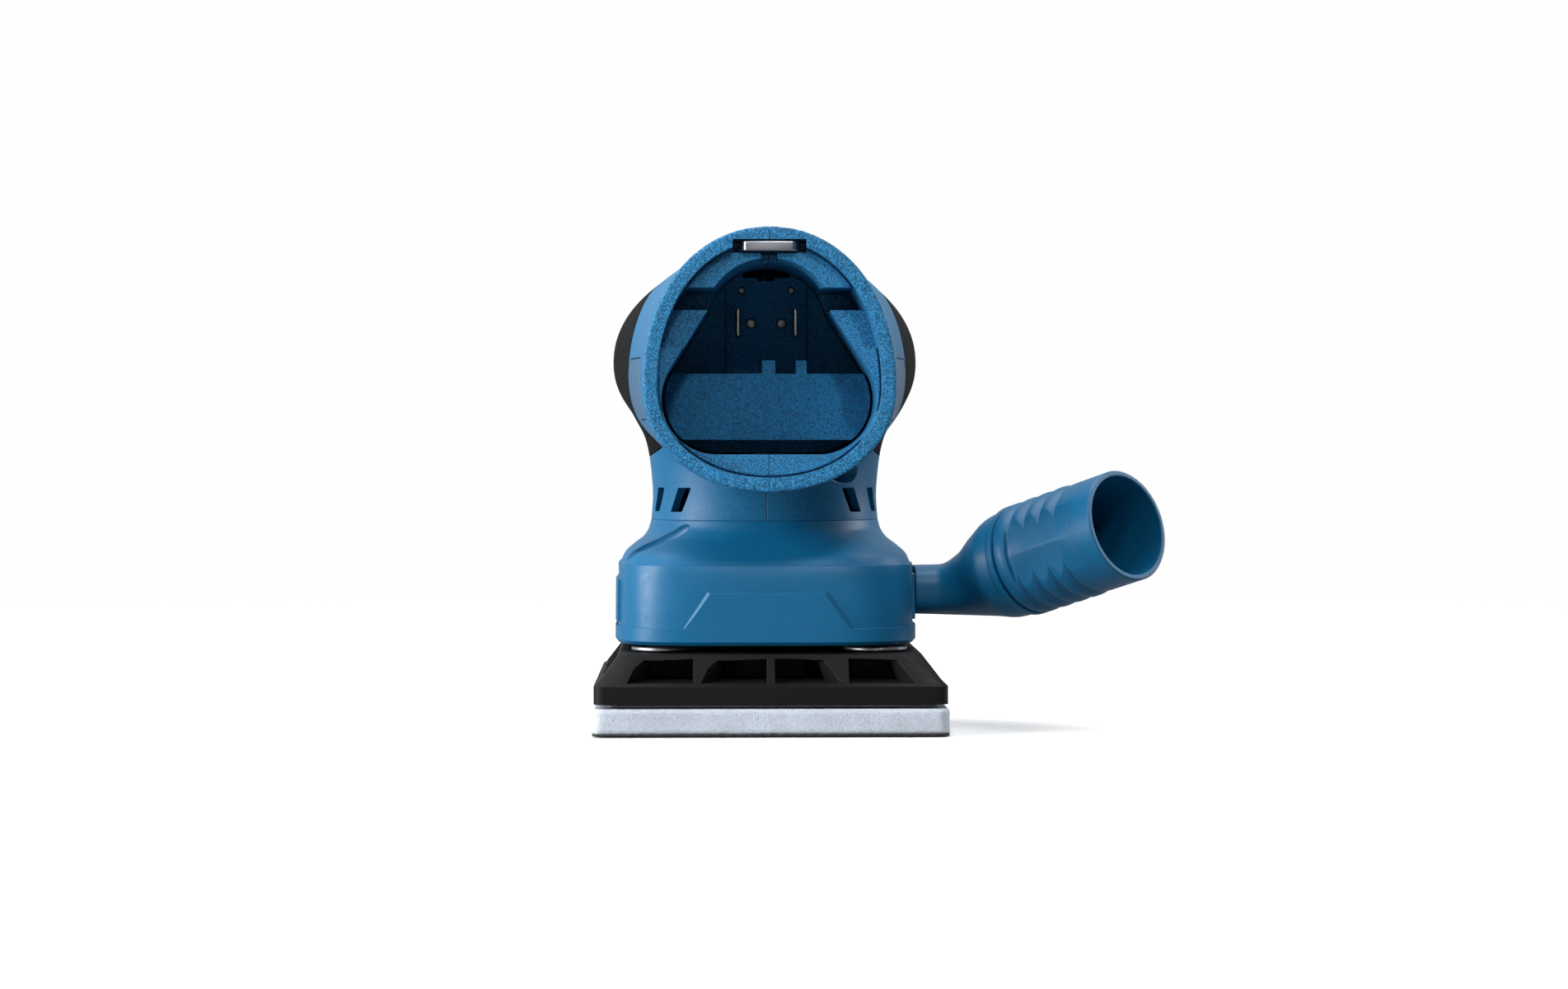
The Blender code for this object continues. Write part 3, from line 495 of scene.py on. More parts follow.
def bay_outline(offset=0.0, arch_offset=None):
    """Rounded triangle that a three-cell battery slides into; a positive offset widens it."""
    if arch_offset is None:
        arch_offset = offset
    corner_x, corner_z, corner_radius = BAY_CORNER
    arch_z, arch_radius = BAY_ARCH
    right = []
    for angle in np.radians(np.linspace(-90, 28, 30)):
        radius = corner_radius + offset
        right.append((corner_x + radius * math.cos(angle), corner_z + radius * math.sin(angle)))
    arch = []
    for angle in np.radians(np.linspace(12, 168, 40)):
        radius = arch_radius + arch_offset
        arch.append((radius * math.cos(angle), arch_z + radius * math.sin(angle)))
    left = [(-x, z) for x, z in reversed(right)]
    return right + arch + left


# ---------------------------------------------------------------- materials

class Finish:
    """A Principled material whose colour, roughness and relief come from noise in object space."""

    def __init__(self, name, roughness, metallic=0.0, **constants):
        self.material = bpy.data.materials.new(name)
        self.material.use_nodes = True
        self.tree = self.material.node_tree
        self.shader = self.tree.nodes["Principled BSDF"]
        self.shader.inputs["Roughness"].default_value = roughness
        self.shader.inputs["Metallic"].default_value = metallic
        for key, value in constants.items():
            self.shader.inputs[key.replace("_", " ")].default_value = value
        self.place = self.add("TexCoord").outputs["Object"]
        self.rounded = self.add("Bevel", samples=4)
        self.rounded.inputs["Radius"].default_value = EDGE_RADIUS * MM
        self.normal = self.rounded.outputs["Normal"]

    def add(self, kind, **settings):
        node = self.tree.nodes.new("ShaderNode" + kind)
        for key, value in settings.items():
            setattr(node, key, value)
        return node

    def feed(self, socket, value):
        if isinstance(value, bpy.types.NodeSocket):
            self.tree.links.new(value, socket)
        else:
            socket.default_value = value

    def stretched(self, x, y, z):
        """Object coordinates scaled along each axis, for brushed or drawn grain."""
        node = self.add("Mapping")
        node.inputs["Scale"].default_value = (x, y, z)
        self.feed(node.inputs["Vector"], self.place)
        return node.outputs["Vector"]

    def noise(self, scale, detail=2.0, roughness=0.5, place=None):
        node = self.add("TexNoise")
        self.feed(node.inputs["Vector"], place or self.place)
        node.inputs["Scale"].default_value = scale
        node.inputs["Detail"].default_value = detail
        node.inputs["Roughness"].default_value = roughness
        return node.outputs["Fac"]

    def cells(self, scale, feature="F1", place=None):
        node = self.add("TexVoronoi", feature=feature)
        self.feed(node.inputs["Vector"], place or self.place)
        node.inputs["Scale"].default_value = scale
        return node.outputs["Distance"]

    def spread(self, value, low, high, to_low=0.0, to_high=1.0):
        """Map a value's range onto another and clamp it."""
        node = self.add("MapRange")
        for socket, number in zip(node.inputs, (value, low, high, to_low, to_high)):
            self.feed(socket, number)
        return node.outputs["Result"]

    def math(self, operation, first, second):
        node = self.add("Math", operation=operation)
        self.feed(node.inputs[0], first)
        self.feed(node.inputs[1], second)
        return node.outputs["Value"]

    def mix(self, factor, first, second, blend="MIX"):
        node = self.add("Mix", data_type="RGBA", blend_type=blend)
        for index, value in ((0, factor), (6, first), (7, second)):
            if isinstance(value, tuple):
                value = (*value, 1.0)
            self.feed(node.inputs[index], value)
        return node.outputs[2]

    def edges(self):
        """How near a point is to an edge, from how far a rounded normal leans from the true one."""
        true = self.add("NewGeometry").outputs["Normal"]
        dot = self.add("VectorMath", operation="DOT_PRODUCT")
        self.feed(dot.inputs[0], self.rounded.outputs["Normal"])
        self.feed(dot.inputs[1], true)
        return self.spread(dot.outputs["Value"], 0.985, 0.75)

    def colour(self, value):
        if isinstance(value, tuple):
            value = (*value, 1.0)
        self.feed(self.shader.inputs["Base Color"], value)
        return self

    def roughness(self, value):
        self.feed(self.shader.inputs["Roughness"], value)
        return self

    def bump(self, height, depth, strength=1.0):
        """Raise the surface by a height map, with the depth in millimetres."""
        node = self.add("Bump")
        node.inputs["Strength"].default_value = strength
        node.inputs["Distance"].default_value = depth * MM
        self.feed(node.inputs["Height"], height)
        self.feed(node.inputs["Normal"], self.normal)
        self.normal = node.outputs["Normal"]
        self.feed(self.shader.inputs["Normal"], self.normal)
        return self


def tint(colour, factor):
    return tuple(min(1.0, channel * factor) for channel in colour)


def mouth_grain_and_highlight_mask(finish):
    """1 on the mouth's rim and inside the bay, 0.25 on the casing's smoother outside; it weights grain
    whose pale flecks are partly a painted highlight on the rim.
    """
    half_width, half_height, middle = 0.035, 0.0365, 0.1035
    parts = finish.add("SeparateXYZ")
    finish.feed(parts.inputs[0], finish.place)
    x, y, z = parts.outputs
    wide = finish.math("POWER", finish.math("DIVIDE", x, half_width), 2.0)
    rise = finish.math("SUBTRACT", z, middle)
    tall = finish.math("POWER", finish.math("DIVIDE", rise, half_height), 2.0)
    inside = finish.spread(finish.math("ADD", wide, tall), 0.86, 0.9, 1.0, 0.0)
    behind = finish.spread(y, -0.024, -0.022, 1.0, 0.0)
    front = finish.spread(y, -0.0712, -0.0706, 1.0, 0.0)
    mask = finish.math("MAXIMUM", front, finish.math("MULTIPLY", inside, behind))
    return finish.spread(mask, 0.0, 1.0, 0.25, 1.0)


def grained_plastic(name, colour, roughness, grain, depth, masked=False):
    """Spark-eroded moulded plastic: bright and dark speckle, a slow drift in tone, edges lightened partly
    as wear and partly as painted highlight.
    """
    finish = Finish(name, roughness, Specular_IOR_Level=0.3)
    speckle = finish.noise(grain, 2.0, 0.7)
    fleck = finish.noise(grain * 1.7, 1.0, 0.5)
    drift = finish.noise(28, 3.0)
    edge_wear_and_highlight = finish.edges()
    amount = mouth_grain_and_highlight_mask(finish) if masked else 1.0
    # Pale flecks: grain, and on the masked casing also a painted highlight that lifts the mouth's rim.
    pale = tuple(channel * 2.4 + (0.05 if masked else 0.006) for channel in colour)
    tone = finish.mix(finish.spread(speckle, 0.4, 0.6), tint(colour, 0.58), tint(colour, 1.5))
    tone = finish.mix(finish.spread(fleck, 0.5, 0.62, 0.0, 0.85), tone, pale)
    tone = finish.mix(amount, colour, tone)
    tone = finish.mix(finish.spread(drift, 0.3, 0.7, 0.0, 0.22), tone, tint(colour, 0.82))
    # Edges lightened: partly wear, partly a painted highlight where rounded edges catch light.
    tone = finish.mix(finish.math("MULTIPLY", edge_wear_and_highlight, 0.35), tone, tint(colour, 1.5))
    finish.colour(tone)
    rough = finish.spread(drift, 0.3, 0.7, roughness - 0.05, roughness + 0.06)
    if masked:
        rough = finish.math("SUBTRACT", rough, finish.spread(amount, 0.25, 1.0, 0.14, 0.0))
    finish.roughness(finish.math("SUBTRACT", rough, finish.math("MULTIPLY", edge_wear_and_highlight, 0.1)))
    finish.bump(finish.math("MULTIPLY", speckle, amount), depth)
    return finish.bump(finish.math("MULTIPLY", fleck, amount), depth * 0.5, 0.6).material


def satin_plastic(name, colour, roughness, grain=900, depth=0.012, gloss=0.5):
    """Smooth moulded plastic: a faint orange peel, light scuffs and a slow drift in tone."""
    finish = Finish(name, roughness, Specular_IOR_Level=gloss)
    peel = finish.noise(grain, 2.0)
    drift = finish.noise(22, 3.0)
    scuffs = finish.noise(180, 4.0, 0.7, finish.stretched(1.0, 6.0, 3.0))
    edge_wear_and_highlight = finish.edges()
    tone = finish.mix(finish.spread(drift, 0.3, 0.7, 0.0, 0.3), colour, tint(colour, 0.86))
    tone = finish.mix(finish.spread(peel, 0.35, 0.65, 0.0, 0.16), tone, tint(colour, 1.3))
    # Edges lightened: partly wear, partly a painted highlight, such as the bright rim of the nozzle's
    # mouth.
    tone = finish.mix(finish.math("MULTIPLY", edge_wear_and_highlight, 0.3), tone, tint(colour, 1.4))
    finish.colour(tone)
    rough = finish.spread(scuffs, 0.35, 0.7, roughness - 0.05, roughness + 0.1)
    finish.roughness(finish.math("SUBTRACT", rough, finish.math("MULTIPLY", edge_wear_and_highlight, 0.08)))
    return finish.bump(peel, depth).material


def soft_rubber(name, colour, roughness, grain=2200):
    finish = Finish(name, roughness, Specular_IOR_Level=0.08)
    pores = finish.cells(grain)
    dust = finish.noise(60, 4.0, 0.65)
    tone = finish.mix(finish.spread(dust, 0.45, 0.75, 0.0, 0.35), colour, tint(colour, 1.9))
    finish.colour(tone)
    finish.roughness(finish.spread(dust, 0.3, 0.7, roughness - 0.06, roughness + 0.08))
    return finish.bump(pores, 0.03, 0.7).material


def brushed_metal(name, colour, roughness, along=(1.0, 30.0, 30.0), depth=0.004):
    """Metal with fine drawn lines along one axis, a little tarnish and bright edges."""
    finish = Finish(name, roughness, metallic=1.0)
    lines = finish.noise(260, 3.0, 0.6, finish.stretched(*along))
    tarnish = finish.noise(90, 4.0, 0.6)
    edge_wear_and_highlight = finish.edges()
    tone = finish.mix(finish.spread(lines, 0.3, 0.7), tint(colour, 0.85), tint(colour, 1.1))
    tone = finish.mix(finish.spread(tarnish, 0.5, 0.8, 0.0, 0.4), tone, tint(colour, 0.7))
    # Bright edges: partly wear, partly a painted highlight where the edges catch light.
    tone = finish.mix(finish.math("MULTIPLY", edge_wear_and_highlight, 0.5), tone, tint(colour, 1.35))
    finish.colour(tone)
    finish.roughness(finish.spread(tarnish, 0.3, 0.75, roughness - 0.05, roughness + 0.15))
    return finish.bump(lines, depth).material


def open_foam(name, colour):
    """Pale open-cell foam with dark pores."""
    finish = Finish(name, 0.95, Specular_IOR_Level=0.15, Sheen_Weight=0.1, Sheen_Roughness=0.7)
    pores = finish.cells(1500)
    specks = finish.noise(1900, 2.0, 0.7)
    cloud = finish.noise(120, 3.0)
    tone = finish.mix(finish.spread(cloud, 0.35, 0.65), tint(colour, 0.92), tint(colour, 1.06))
    tone = finish.mix(finish.spread(pores, 0.45, 0.85, 0.0, 0.35), tone, tint(colour, 1.3))
    tone = finish.mix(finish.spread(specks, 0.6, 0.7, 0.0, 0.75), tone, tint(colour, 0.33))
    finish.colour(tone)
    finish.bump(specks, -0.1, 0.8)
    return finish.bump(pores, 0.12, 0.6).material


def hook_cloth(name, colour):
    """Black hook fastener: a dense field of short hooks with a little fuzz."""
    finish = Finish(name, 0.9, Sheen_Weight=0.3, Sheen_Roughness=0.4)
    hooks = finish.cells(900)
    fuzz = finish.noise(2600, 3.0, 0.7)
    finish.colour(finish.mix(finish.spread(hooks, 0.2, 0.7), tint(colour, 2.6), colour))
    finish.roughness(finish.spread(fuzz, 0.3, 0.7, 0.8, 1.0))
    finish.bump(hooks, -0.25, 0.9)
    return finish.bump(fuzz, 0.06, 0.7).material


BLUE = (0.0012, 0.094, 0.21)


def make_finishes():
    black = (0.0045, 0.0045, 0.005)
    return {
        "grained": grained_plastic("grained_blue", BLUE, 0.58, 1700, 0.13, masked=True),
        # The carrier is the casing's blue darkened: painted shade for the deep bay, where the same plastic
        # gets less light.
        "carrier": grained_plastic("carrier_blue_painted_shade", tint(BLUE, 0.82), 0.7, 1700, 0.11),
        "satin": satin_plastic("satin_blue", BLUE, 0.4, gloss=0.3),
        "nozzle": satin_plastic("nozzle_blue", BLUE, 0.42, 1700, 0.02, gloss=0.35),
        "badge": satin_plastic("badge_blue", tint(BLUE, 0.75), 0.34, 1200, 0.006),
        "rubber": soft_rubber("grip_rubber", (0.0045, 0.0048, 0.0052), 0.8),
        "seal": soft_rubber("seal_rubber", (0.012, 0.012, 0.013), 0.6),
        "foot": soft_rubber("foot_rubber", (0.085, 0.09, 0.1), 0.55, 1400),
        "black": satin_plastic("matte_black", black, 0.55, 1500, 0.02, gloss=0.15),
        "fan": satin_plastic("fan_plastic", (0.04, 0.04, 0.042), 0.45),
        "switch": satin_plastic("switch_black", (0.02, 0.02, 0.022), 0.38, 1800, 0.01),
        "strap": brushed_metal("strap_steel", (0.42, 0.43, 0.465), 0.3, (1.0, 20.0, 20.0)),
        "steel": brushed_metal("zinc_steel", (0.5, 0.51, 0.53), 0.34, (1.0, 1.0, 12.0)),
        "bearing": brushed_metal("bearing_steel", (0.58, 0.59, 0.6), 0.2, (1.0, 1.0, 20.0)),
        "contact": brushed_metal("contact_plate", (0.34, 0.31, 0.29), 0.42, (4.0, 4.0, 4.0)),
        "blade": brushed_metal("blade_brass", (0.5, 0.44, 0.36), 0.36, (1.0, 1.0, 0.1)),
        "cast": brushed_metal("cast_alloy", (0.5, 0.51, 0.52), 0.5, (3.0, 3.0, 3.0), 0.02),
        "weight": brushed_metal("cast_steel", (0.25, 0.25, 0.26), 0.55, (3.0, 3.0, 3.0), 0.03),
        "core": brushed_metal("laminated_steel", (0.3, 0.3, 0.31), 0.42, (0.3, 0.3, 14.0), 0.02),
        "ferrite": satin_plastic("ferrite", (0.04, 0.04, 0.042), 0.7, 1600, 0.03),
        "board": satin_plastic("solder_mask", (0.015, 0.11, 0.045), 0.45, 700, 0.01),
        "foam": open_foam("pad_foam", (0.48, 0.525, 0.6)),
        "hook": hook_cloth("hook_fastener", (0.008, 0.008, 0.009)),
    }


# ---------------------------------------------------------------- casing

def casing_form():
    """Head and neck as one plain solid with soft transitions, longer than the real head."""
    rows = smooth_table(HEAD_STATIONS, np.linspace(HEAD_OVERRUN, HEAD_STATIONS[-1][0], 110))
    form = loft([head_ring(row) for row in rows])
    rows = smooth_table(NECK_STATIONS, np.linspace(NECK_STATIONS[0][0], NECK_STATIONS[-1][0], 48))
    unite(form, loft(plan_rings(rows)))
    return remesh(form, FORM, 10)


def casing_cavity():
    """The hollow behind the bay, in the neck and in the throat between them."""
    head = smooth_table(HEAD_STATIONS, np.linspace(CAVITY_START, 45.0, 30))
    rear = -CAVITY_START - 0.5
    neck = [(50.0, 30.4, 31.0, 37.0, 2.4), (76.5, 30.6, 30.8, 36.9, 2.4)]
    throat = [(76.0, 30.6, rear, 36.9, 2.4), (88.0, 34.0, rear, 40.0, 2.4)]
    return [loft([head_ring(row, WALL) for row in head]), loft(plan_rings(neck)), loft(plan_rings(throat))]


def bay_hole(front, back):
    """The bay's hollow; a bevel behind its front edge narrows the arch and the slanted sides."""
    wide, narrow = bay_outline(), bay_outline(0.0, -ARCH_TAPER)
    bevel_start = MOUTH + RIM_DEPTH + 0.6
    levels = [(wide, front), (wide, bevel_start), (narrow, bevel_start + 4.5), (narrow, back)]
    return loft([[(x, y, z) for x, z in outline] for outline, y in levels])


def bay_cutters():
    """The bay, its recessed rim, the strap's slot and the latch windows on both sides."""
    strap_neck = box((-2.3, MOUTH - 5, 128), (2.3, -58, 136))
    tools = [rim_prism(RIM_WIDTH, RIM_DEPTH), bay_hole(MOUTH - 5, CAVITY_START + 1.2), strap_neck]
    for side in (-1, 1):
        for outline, depth in ((LATCH_WINDOW, BAY_BACK - MOUTH), (SIDE_RAIL, RAIL_DEPTH)):
            tool = prism([(side * x, z) for x, z in outline], "Y", MOUTH - 5, MOUTH + depth)
            limit = rim_prism(RIM_WIDTH + 0.1, depth + 2)
            tools.append(combine(tool, "INTERSECT", limit))
    return tools


def vent_cutters():
    """Two slanted slots on each side of the neck, leaning outward at the bottom."""
    tools = []
    low, high = VENT_HEIGHTS
    outline = [(VENT_LEAN - VENT_HALF_WIDTH, low), (VENT_LEAN + VENT_HALF_WIDTH, low),
               (VENT_HALF_WIDTH - VENT_LEAN, high), (-VENT_HALF_WIDTH - VENT_LEAN, high)]
    for side in (-1, 1):
        for x, y, turn in VENTS:
            tool = prism([(side * a, b) for a, b in eased(outline, 0.5)], "Y", -9, 9)
            tools.append(moved(tool, side * x, y, 0, Matrix.Rotation(side * math.radians(turn), 3, "Z")))
    return tools


def across(obj, y, z):
    """Lay a piece that was drawn along Z across the casing, along X."""
    return moved(obj, 0, y, z, Matrix.Rotation(math.pi / 2, 3, "Y"))


def rocker_point(x, along, out):
    return ROCKER_CENTRE + Matrix.Rotation(-ROCKER_SLOPE, 3, "X") @ Vector((x, along, out))


def rocker_pocket():
    half_x, half_y = ROCKER_HALF[0] + 0.4, ROCKER_HALF[1] + 0.9
    outline = rounded_rectangle(2 * half_x, 2 * half_y, 1.5, 6)
    return loft([[rocker_point(x, y, level) for x, y in outline] for level in (-9, 12)])


def side_region(outline, side, inner):
    reach = sorted((side * inner, side * 80))
    return prism(outline, "X", *reach)


def skin_pieces(form, finishes):
    """Grips and badges laid into the head's skin, and the tools that make room for them."""
    rooms = []
    width, height = BADGE_SIZE
    badge = rounded_rectangle(width, height, BADGE_CORNER, 8, BADGE_CENTRE)
    badge_room = rounded_rectangle(width + 2 * GAP, height + 2 * GAP, BADGE_CORNER + GAP, 8, BADGE_CENTRE)
    kinds = [
        ("grip", "overmould", "rubber", oval(GRIP_CENTRE, GRIP_HALF, 0.0, GRIP_EXPONENT),
         oval(GRIP_CENTRE, GRIP_HALF, GAP, GRIP_EXPONENT), GRIP_THICKNESS),
        ("badge", "badge", "badge", badge, badge_room, BADGE_THICKNESS),
    ]
    for kind, slot, paint, outline, wider, thickness in kinds:
        core = swollen(form, -thickness)
        deeper = swollen(form, -thickness - GAP)
        for side, word in SIDES:
            piece = side_region(outline, side, SKIN_INNER_X)
            combine(piece, "INTERSECT", form, keep=True)
            combine(piece, "DIFFERENCE", core, keep=True)
            finish_piece(piece, f"{kind}_pad_{word}", "housing", finishes[paint], slot, f"{kind}_{word}")
            room = side_region(wider, side, SKIN_INNER_X - GAP)
            rooms.append(combine(room, "DIFFERENCE", deeper, keep=True))
        discard(core, deeper)
    return rooms


def screw_bosses():
    bosses = []
    for index, half_length in SIDE_BOSSES:
        bosses.append(across(cylinder(BOSS_RADIUS, -half_length, half_length), *SIDE_SCREWS[index]))
    for x, y in PLATE_SCREWS:
        bosses.append(moved(cylinder(PLATE_BOSS_RADIUS, NECK_BOTTOM + 0.6, 73), x, y))
    return bosses


def screw_holes():
    """Stepped holes from the right for the side screws, and pilot holes for the plate's screws."""
    holes = []
    shank, head = (-10.4, 11.9), (11.9, 55)
    for y, z in SIDE_SCREWS:
        room = [(0, shank[0]), (PILOT_RADIUS, shank[0]), (PILOT_RADIUS, shank[1]), (3.3, head[0]),
                (3.3, head[1]), (0, head[1])]
        holes.append(across(turned(room), y, z))
    for x, y in PLATE_SCREWS:
        holes.append(moved(cylinder(PILOT_RADIUS, 50, 70.4), x, y))
    return holes


def rim_groove():
    """A thin line cut round the foot of the mouth's recessed rim."""
    groove = rim_prism(RIM_WIDTH + 0.05, RIM_DEPTH + 1.0)
    return cut(groove, rim_prism(RIM_WIDTH + 0.6, RIM_DEPTH + 3.0))


def build_casing(finishes):
    """Two clamshell halves; what is cut after the remesh keeps crisp edges."""
    shell = casing_form()
    rooms = skin_pieces(shell, finishes)
    beyond_mouth = box((-90, -120, 0), (90, MOUTH, 200))
    cut(shell, beyond_mouth, *casing_cavity())
    unite(shell, *screw_bosses())
    remesh(shell, FINE, 3)

    below_neck = box((-90, -90, 20), (90, 90, NECK_BOTTOM))
    cut(shell, below_neck)
    cut(shell, *bay_cutters(), *rooms)
    half_width, bottom, top = STRAP_SLOT
    strap_slot = box((-half_width, MOUTH - 6, bottom), (half_width, -57, top))
    cut(shell, rocker_pocket(), *vent_cutters(), strap_slot, *screw_holes())
    cut(shell, rim_groove())
    for side, word in SIDES:
        near, far = sorted((side * SEAM, side * 60))
        half = box((near, -90, 50), (far, 70, 160))
        combine(half, "INTERSECT", shell, keep=True)
        thin_out(half, 190000)
        finish_piece(half, f"shell_{word}", "housing", finishes["grained"], "grained_shell",
                     f"housing_{word}", sharp=50)
    discard(shell)


# ---------------------------------------------------------------- bay

def latch_slot():
    """The mushroom-shaped recess above the contacts."""
    stem, cap = 2.4, 7.0
    outline = [(-cap, 130.2), (-stem, 130.0), (-stem, 129.2), (stem, 129.2), (stem, 130.0), (cap, 130.2)]
    outline += [(cap * math.cos(a), 130.6 + 2.2 * math.sin(a)) for a in np.radians(np.linspace(8, 172, 24))]
    return prism(outline, "Y", BAY_BACK - 2, CAVITY_START + 4)


def contact_cutters():
    """Grooves beside the contacts, slots for the blades and seats for the round contacts."""
    tools = []
    grow = Vector((GAP, GAP, GAP))
    for side, word in SIDES:
        x = side * GROOVE_X
        tools.append(box((x - GROOVE_HALF_WIDTH, BAY_BACK - 5, 102.3),
                         (x + GROOVE_HALF_WIDTH, BAY_BACK + 1.6, 127)))
        low, high = node_box(f"blade_terminal_{word}")
        tools.append(box(low - grow, high + grow))
        for name in ("contact_lower", "contact_upper"):
            low, high = node_box(f"{name}_{word}")
            centre = (low + high) / 2
            seat = cylinder((high.x - low.x) / 2 + GAP, -2.8, 1.5, 32)
            tools.append(moved(seat, centre.x, BAY_BACK, centre.z, UPRIGHT_TO_BACK))
    return tools


def build_carrier(finishes):
    """The block at the back of the bay, with its step, tabs, contact seats and grooves."""
    carrier = prism(bay_outline(-GAP, -GAP - ARCH_TAPER), "Y", BAY_BACK, CAVITY_START + 0.8)
    step = prism(bay_outline(-GAP - 0.4), "Y", BAY_STEP_Y, BAY_BACK + 1)
    above_step = box((-40, -60, BAY_STEP[1]), (40, 0, 150))
    below_step = box((-40, -60, 60), (40, -30, BAY_STEP[0]))
    cut(step, above_step, below_step)
    flange = prism(bay_outline(1.2), "Y", CAVITY_START + GAP, CAVITY_START + 2)
    cut(flange, box((-60, -40, 40), (60, 0, 88.5)))
    unite(carrier, step, flange)
    cut(carrier, latch_slot(), *contact_cutters())
    for left, right in TABS:
        unite(carrier, box((left, BAY_STEP_Y + 0.2, 101), (right, BAY_STEP_Y + 3, TAB_TOP)))
    finish_piece(carrier, "bay_carrier", "housing", finishes["carrier"], "grained_shell",
                 "battery_carrier", sharp=50)


def build_blade(finishes, word):
    """A flat blade contact, narrowed at its tip."""
    low, high = node_box(f"blade_terminal_{word}")
    centre = (low + high) / 2
    width, height = high.x - low.x, high.z - low.z
    rings = []
    for y, share in ((low.y, 0.45), (low.y + 1.2, 1.0), (high.y, 1.0)):
        shape = rounded_rectangle(width * (0.55 + 0.45 * share), height * (0.9 + 0.1 * share), 0.2, 4)
        rings.append([(centre.x + x, y, centre.z + z) for x, z in shape])
    finish_piece(loft(rings), f"blade_{word}", "housing", finishes["blade"], "contact_brass",
                 f"blade_terminal_{word}")


def build_button(finishes, node):
    """A round contact with a raised rim."""
    low, high = node_box(node)
    centre, radius = (low + high) / 2, (high.x - low.x) / 2
    depth = high.y - low.y
    profile = [(0, 0), (radius, 0), (radius, depth - 0.25), (radius - 0.12, depth - 0.08),
               (radius - 0.3, depth), (radius * 0.55, depth), (radius * 0.5, depth - 0.12),
               (0, depth - 0.12)]
    button = moved(turned(profile, 40), centre.x, high.y, centre.z, UPRIGHT_TO_BACK)
    level, word = node.rsplit("_", 1)
    finish_piece(button, f"{level}_button_{word}", "housing", finishes["contact"], "contact_steel", node)


def build_contacts(finishes):
    for word in ("left", "right"):
        build_blade(finishes, word)
        build_button(finishes, f"contact_lower_{word}")
        build_button(finishes, f"contact_upper_{word}")


def build_strap(finishes):
    """The polished strap, bowed out across the top of the mouth."""
    low, high = node_box("retainer_strap")
    rings = []
    for x in np.linspace(low.x, high.x, 60):
        share = abs(x) / high.x
        front = low.y + 0.5 * share ** 2 + 2.4 * max(0.0, (share - 0.78) / 0.22) ** 2
        shape = rounded_rectangle(STRAP_THICKNESS, high.z - low.z, 0.4, 4)
        rings.append([(x, min(front, high.y - STRAP_THICKNESS) + STRAP_THICKNESS / 2 + y,
                       (low.z + high.z) / 2 + z) for y, z in shape])
    finish_piece(loft(rings), "latch_strap", "housing", finishes["strap"], "strap_steel", "retainer_strap")


# ---------------------------------------------------------------- skirt and feet

def skirt_plateau():
    """The raised panel at the rear: two slanted sides and a narrow top bevel."""
    low, high = (24.6, 28.5), (17.0, 39.9)
    outer = [(-low[0], low[1]), low, high, (-high[0], high[1])]
    inner = [(-low[0] + 2.0, 28.0), (low[0] - 2.0, 28.0), (high[0] - 1.7, 39.1), (-high[0] + 1.7, 39.1)]
    levels = [(outer, -30), (outer, -44.6), (inner, -45.9)]
    return loft([[(x, y, z) for x, z in outline] for outline, y in levels])


def scallop():
    """A slim egg that scoops the shoulder on the left of the neck."""
    start, end = SCALLOP_ENDS
    direction = end - start
    egg = turned([(math.sin(a), -math.cos(a)) for a in np.linspace(0, math.pi, 24)], 40)
    egg.data.transform(Matrix.Diagonal((SCALLOP_RADIUS, SCALLOP_RADIUS, direction.length / 2 + 2, 1)))
    egg.data.transform(direction.to_track_quat("Z", "Y").to_matrix().to_4x4())
    egg.data.transform(Matrix.Translation((start + end) / 2))
    return egg


def build_skirt(finishes):
    """The lower casing: a slightly sunk body, a hem that climbs at the rear, a bevel and a shoulder."""
    body = [(z, w - SKIRT_STEP, r - SKIRT_STEP, f - SKIRT_STEP, e) for z, w, r, f, e in HEM_STATIONS]
    body.append(CHAMFER_TOP)
    heights = np.linspace(SHOULDER_STATIONS[0][0], SHOULDER_STATIONS[-1][0], 60)
    skirt = loft(plan_rings(body + smooth_table(SHOULDER_STATIONS, heights)))
    hem = loft(plan_rings(HEM_STATIONS))
    low_band = prism([(-60, 20), (60, 20), (60, 29.6), (-60, 29.6)], "Y", -60, 60)
    side_panel = box((-60, -26, 31), (-30, 26, 43))
    port_panel = box((30, -19, 31), (60, 19, 50))
    unite(low_band, skirt_plateau(), side_panel, port_panel)
    unite(skirt, combine(hem, "INTERSECT", low_band))

    port_outline = [(y, PORT_Z + z) for y, z in superellipse(*PORT_HALF, PORT_HALF[1], 3, 64)]
    cut(skirt, loft(plan_rings(SKIRT_CAVITY)), prism(port_outline, "X", 30, 60))
    cut(skirt, scallop())
    finish_piece(skirt, "lower_skirt", "housing", finishes["satin"], "satin_shell", "base_skirt", sharp=18)


def build_posts(finishes, word, x, y, turn):
    """A bundle of flexible posts that hang from one cap."""
    low, high = node_box(f"foot_posts_{word}")
    foot = cylinder(6.3, high.z - 3, high.z, 48)
    profile = [(0, low.z), (2.1, low.z), (2.1, low.z + 1.2), (1.75, low.z + 1.8),
               (1.7, high.z - 6), (2.0, high.z - 3.5), (2.1, high.z - 2), (0, high.z - 2)]
    posts = []
    for i in range(POSTS_PER_FOOT):
        angle = turn + math.tau * i / POSTS_PER_FOOT
        x_shift, y_shift = POST_CIRCLE * math.cos(angle), POST_CIRCLE * math.sin(angle)
        posts.append(moved(turned(profile, 32), x_shift, y_shift))
    unite(foot, *posts)
    finish_piece(moved(foot, x, y), f"foot_bundle_{word}", "housing", finishes["foot"], "foot_rubber",
                 f"foot_posts_{word}")


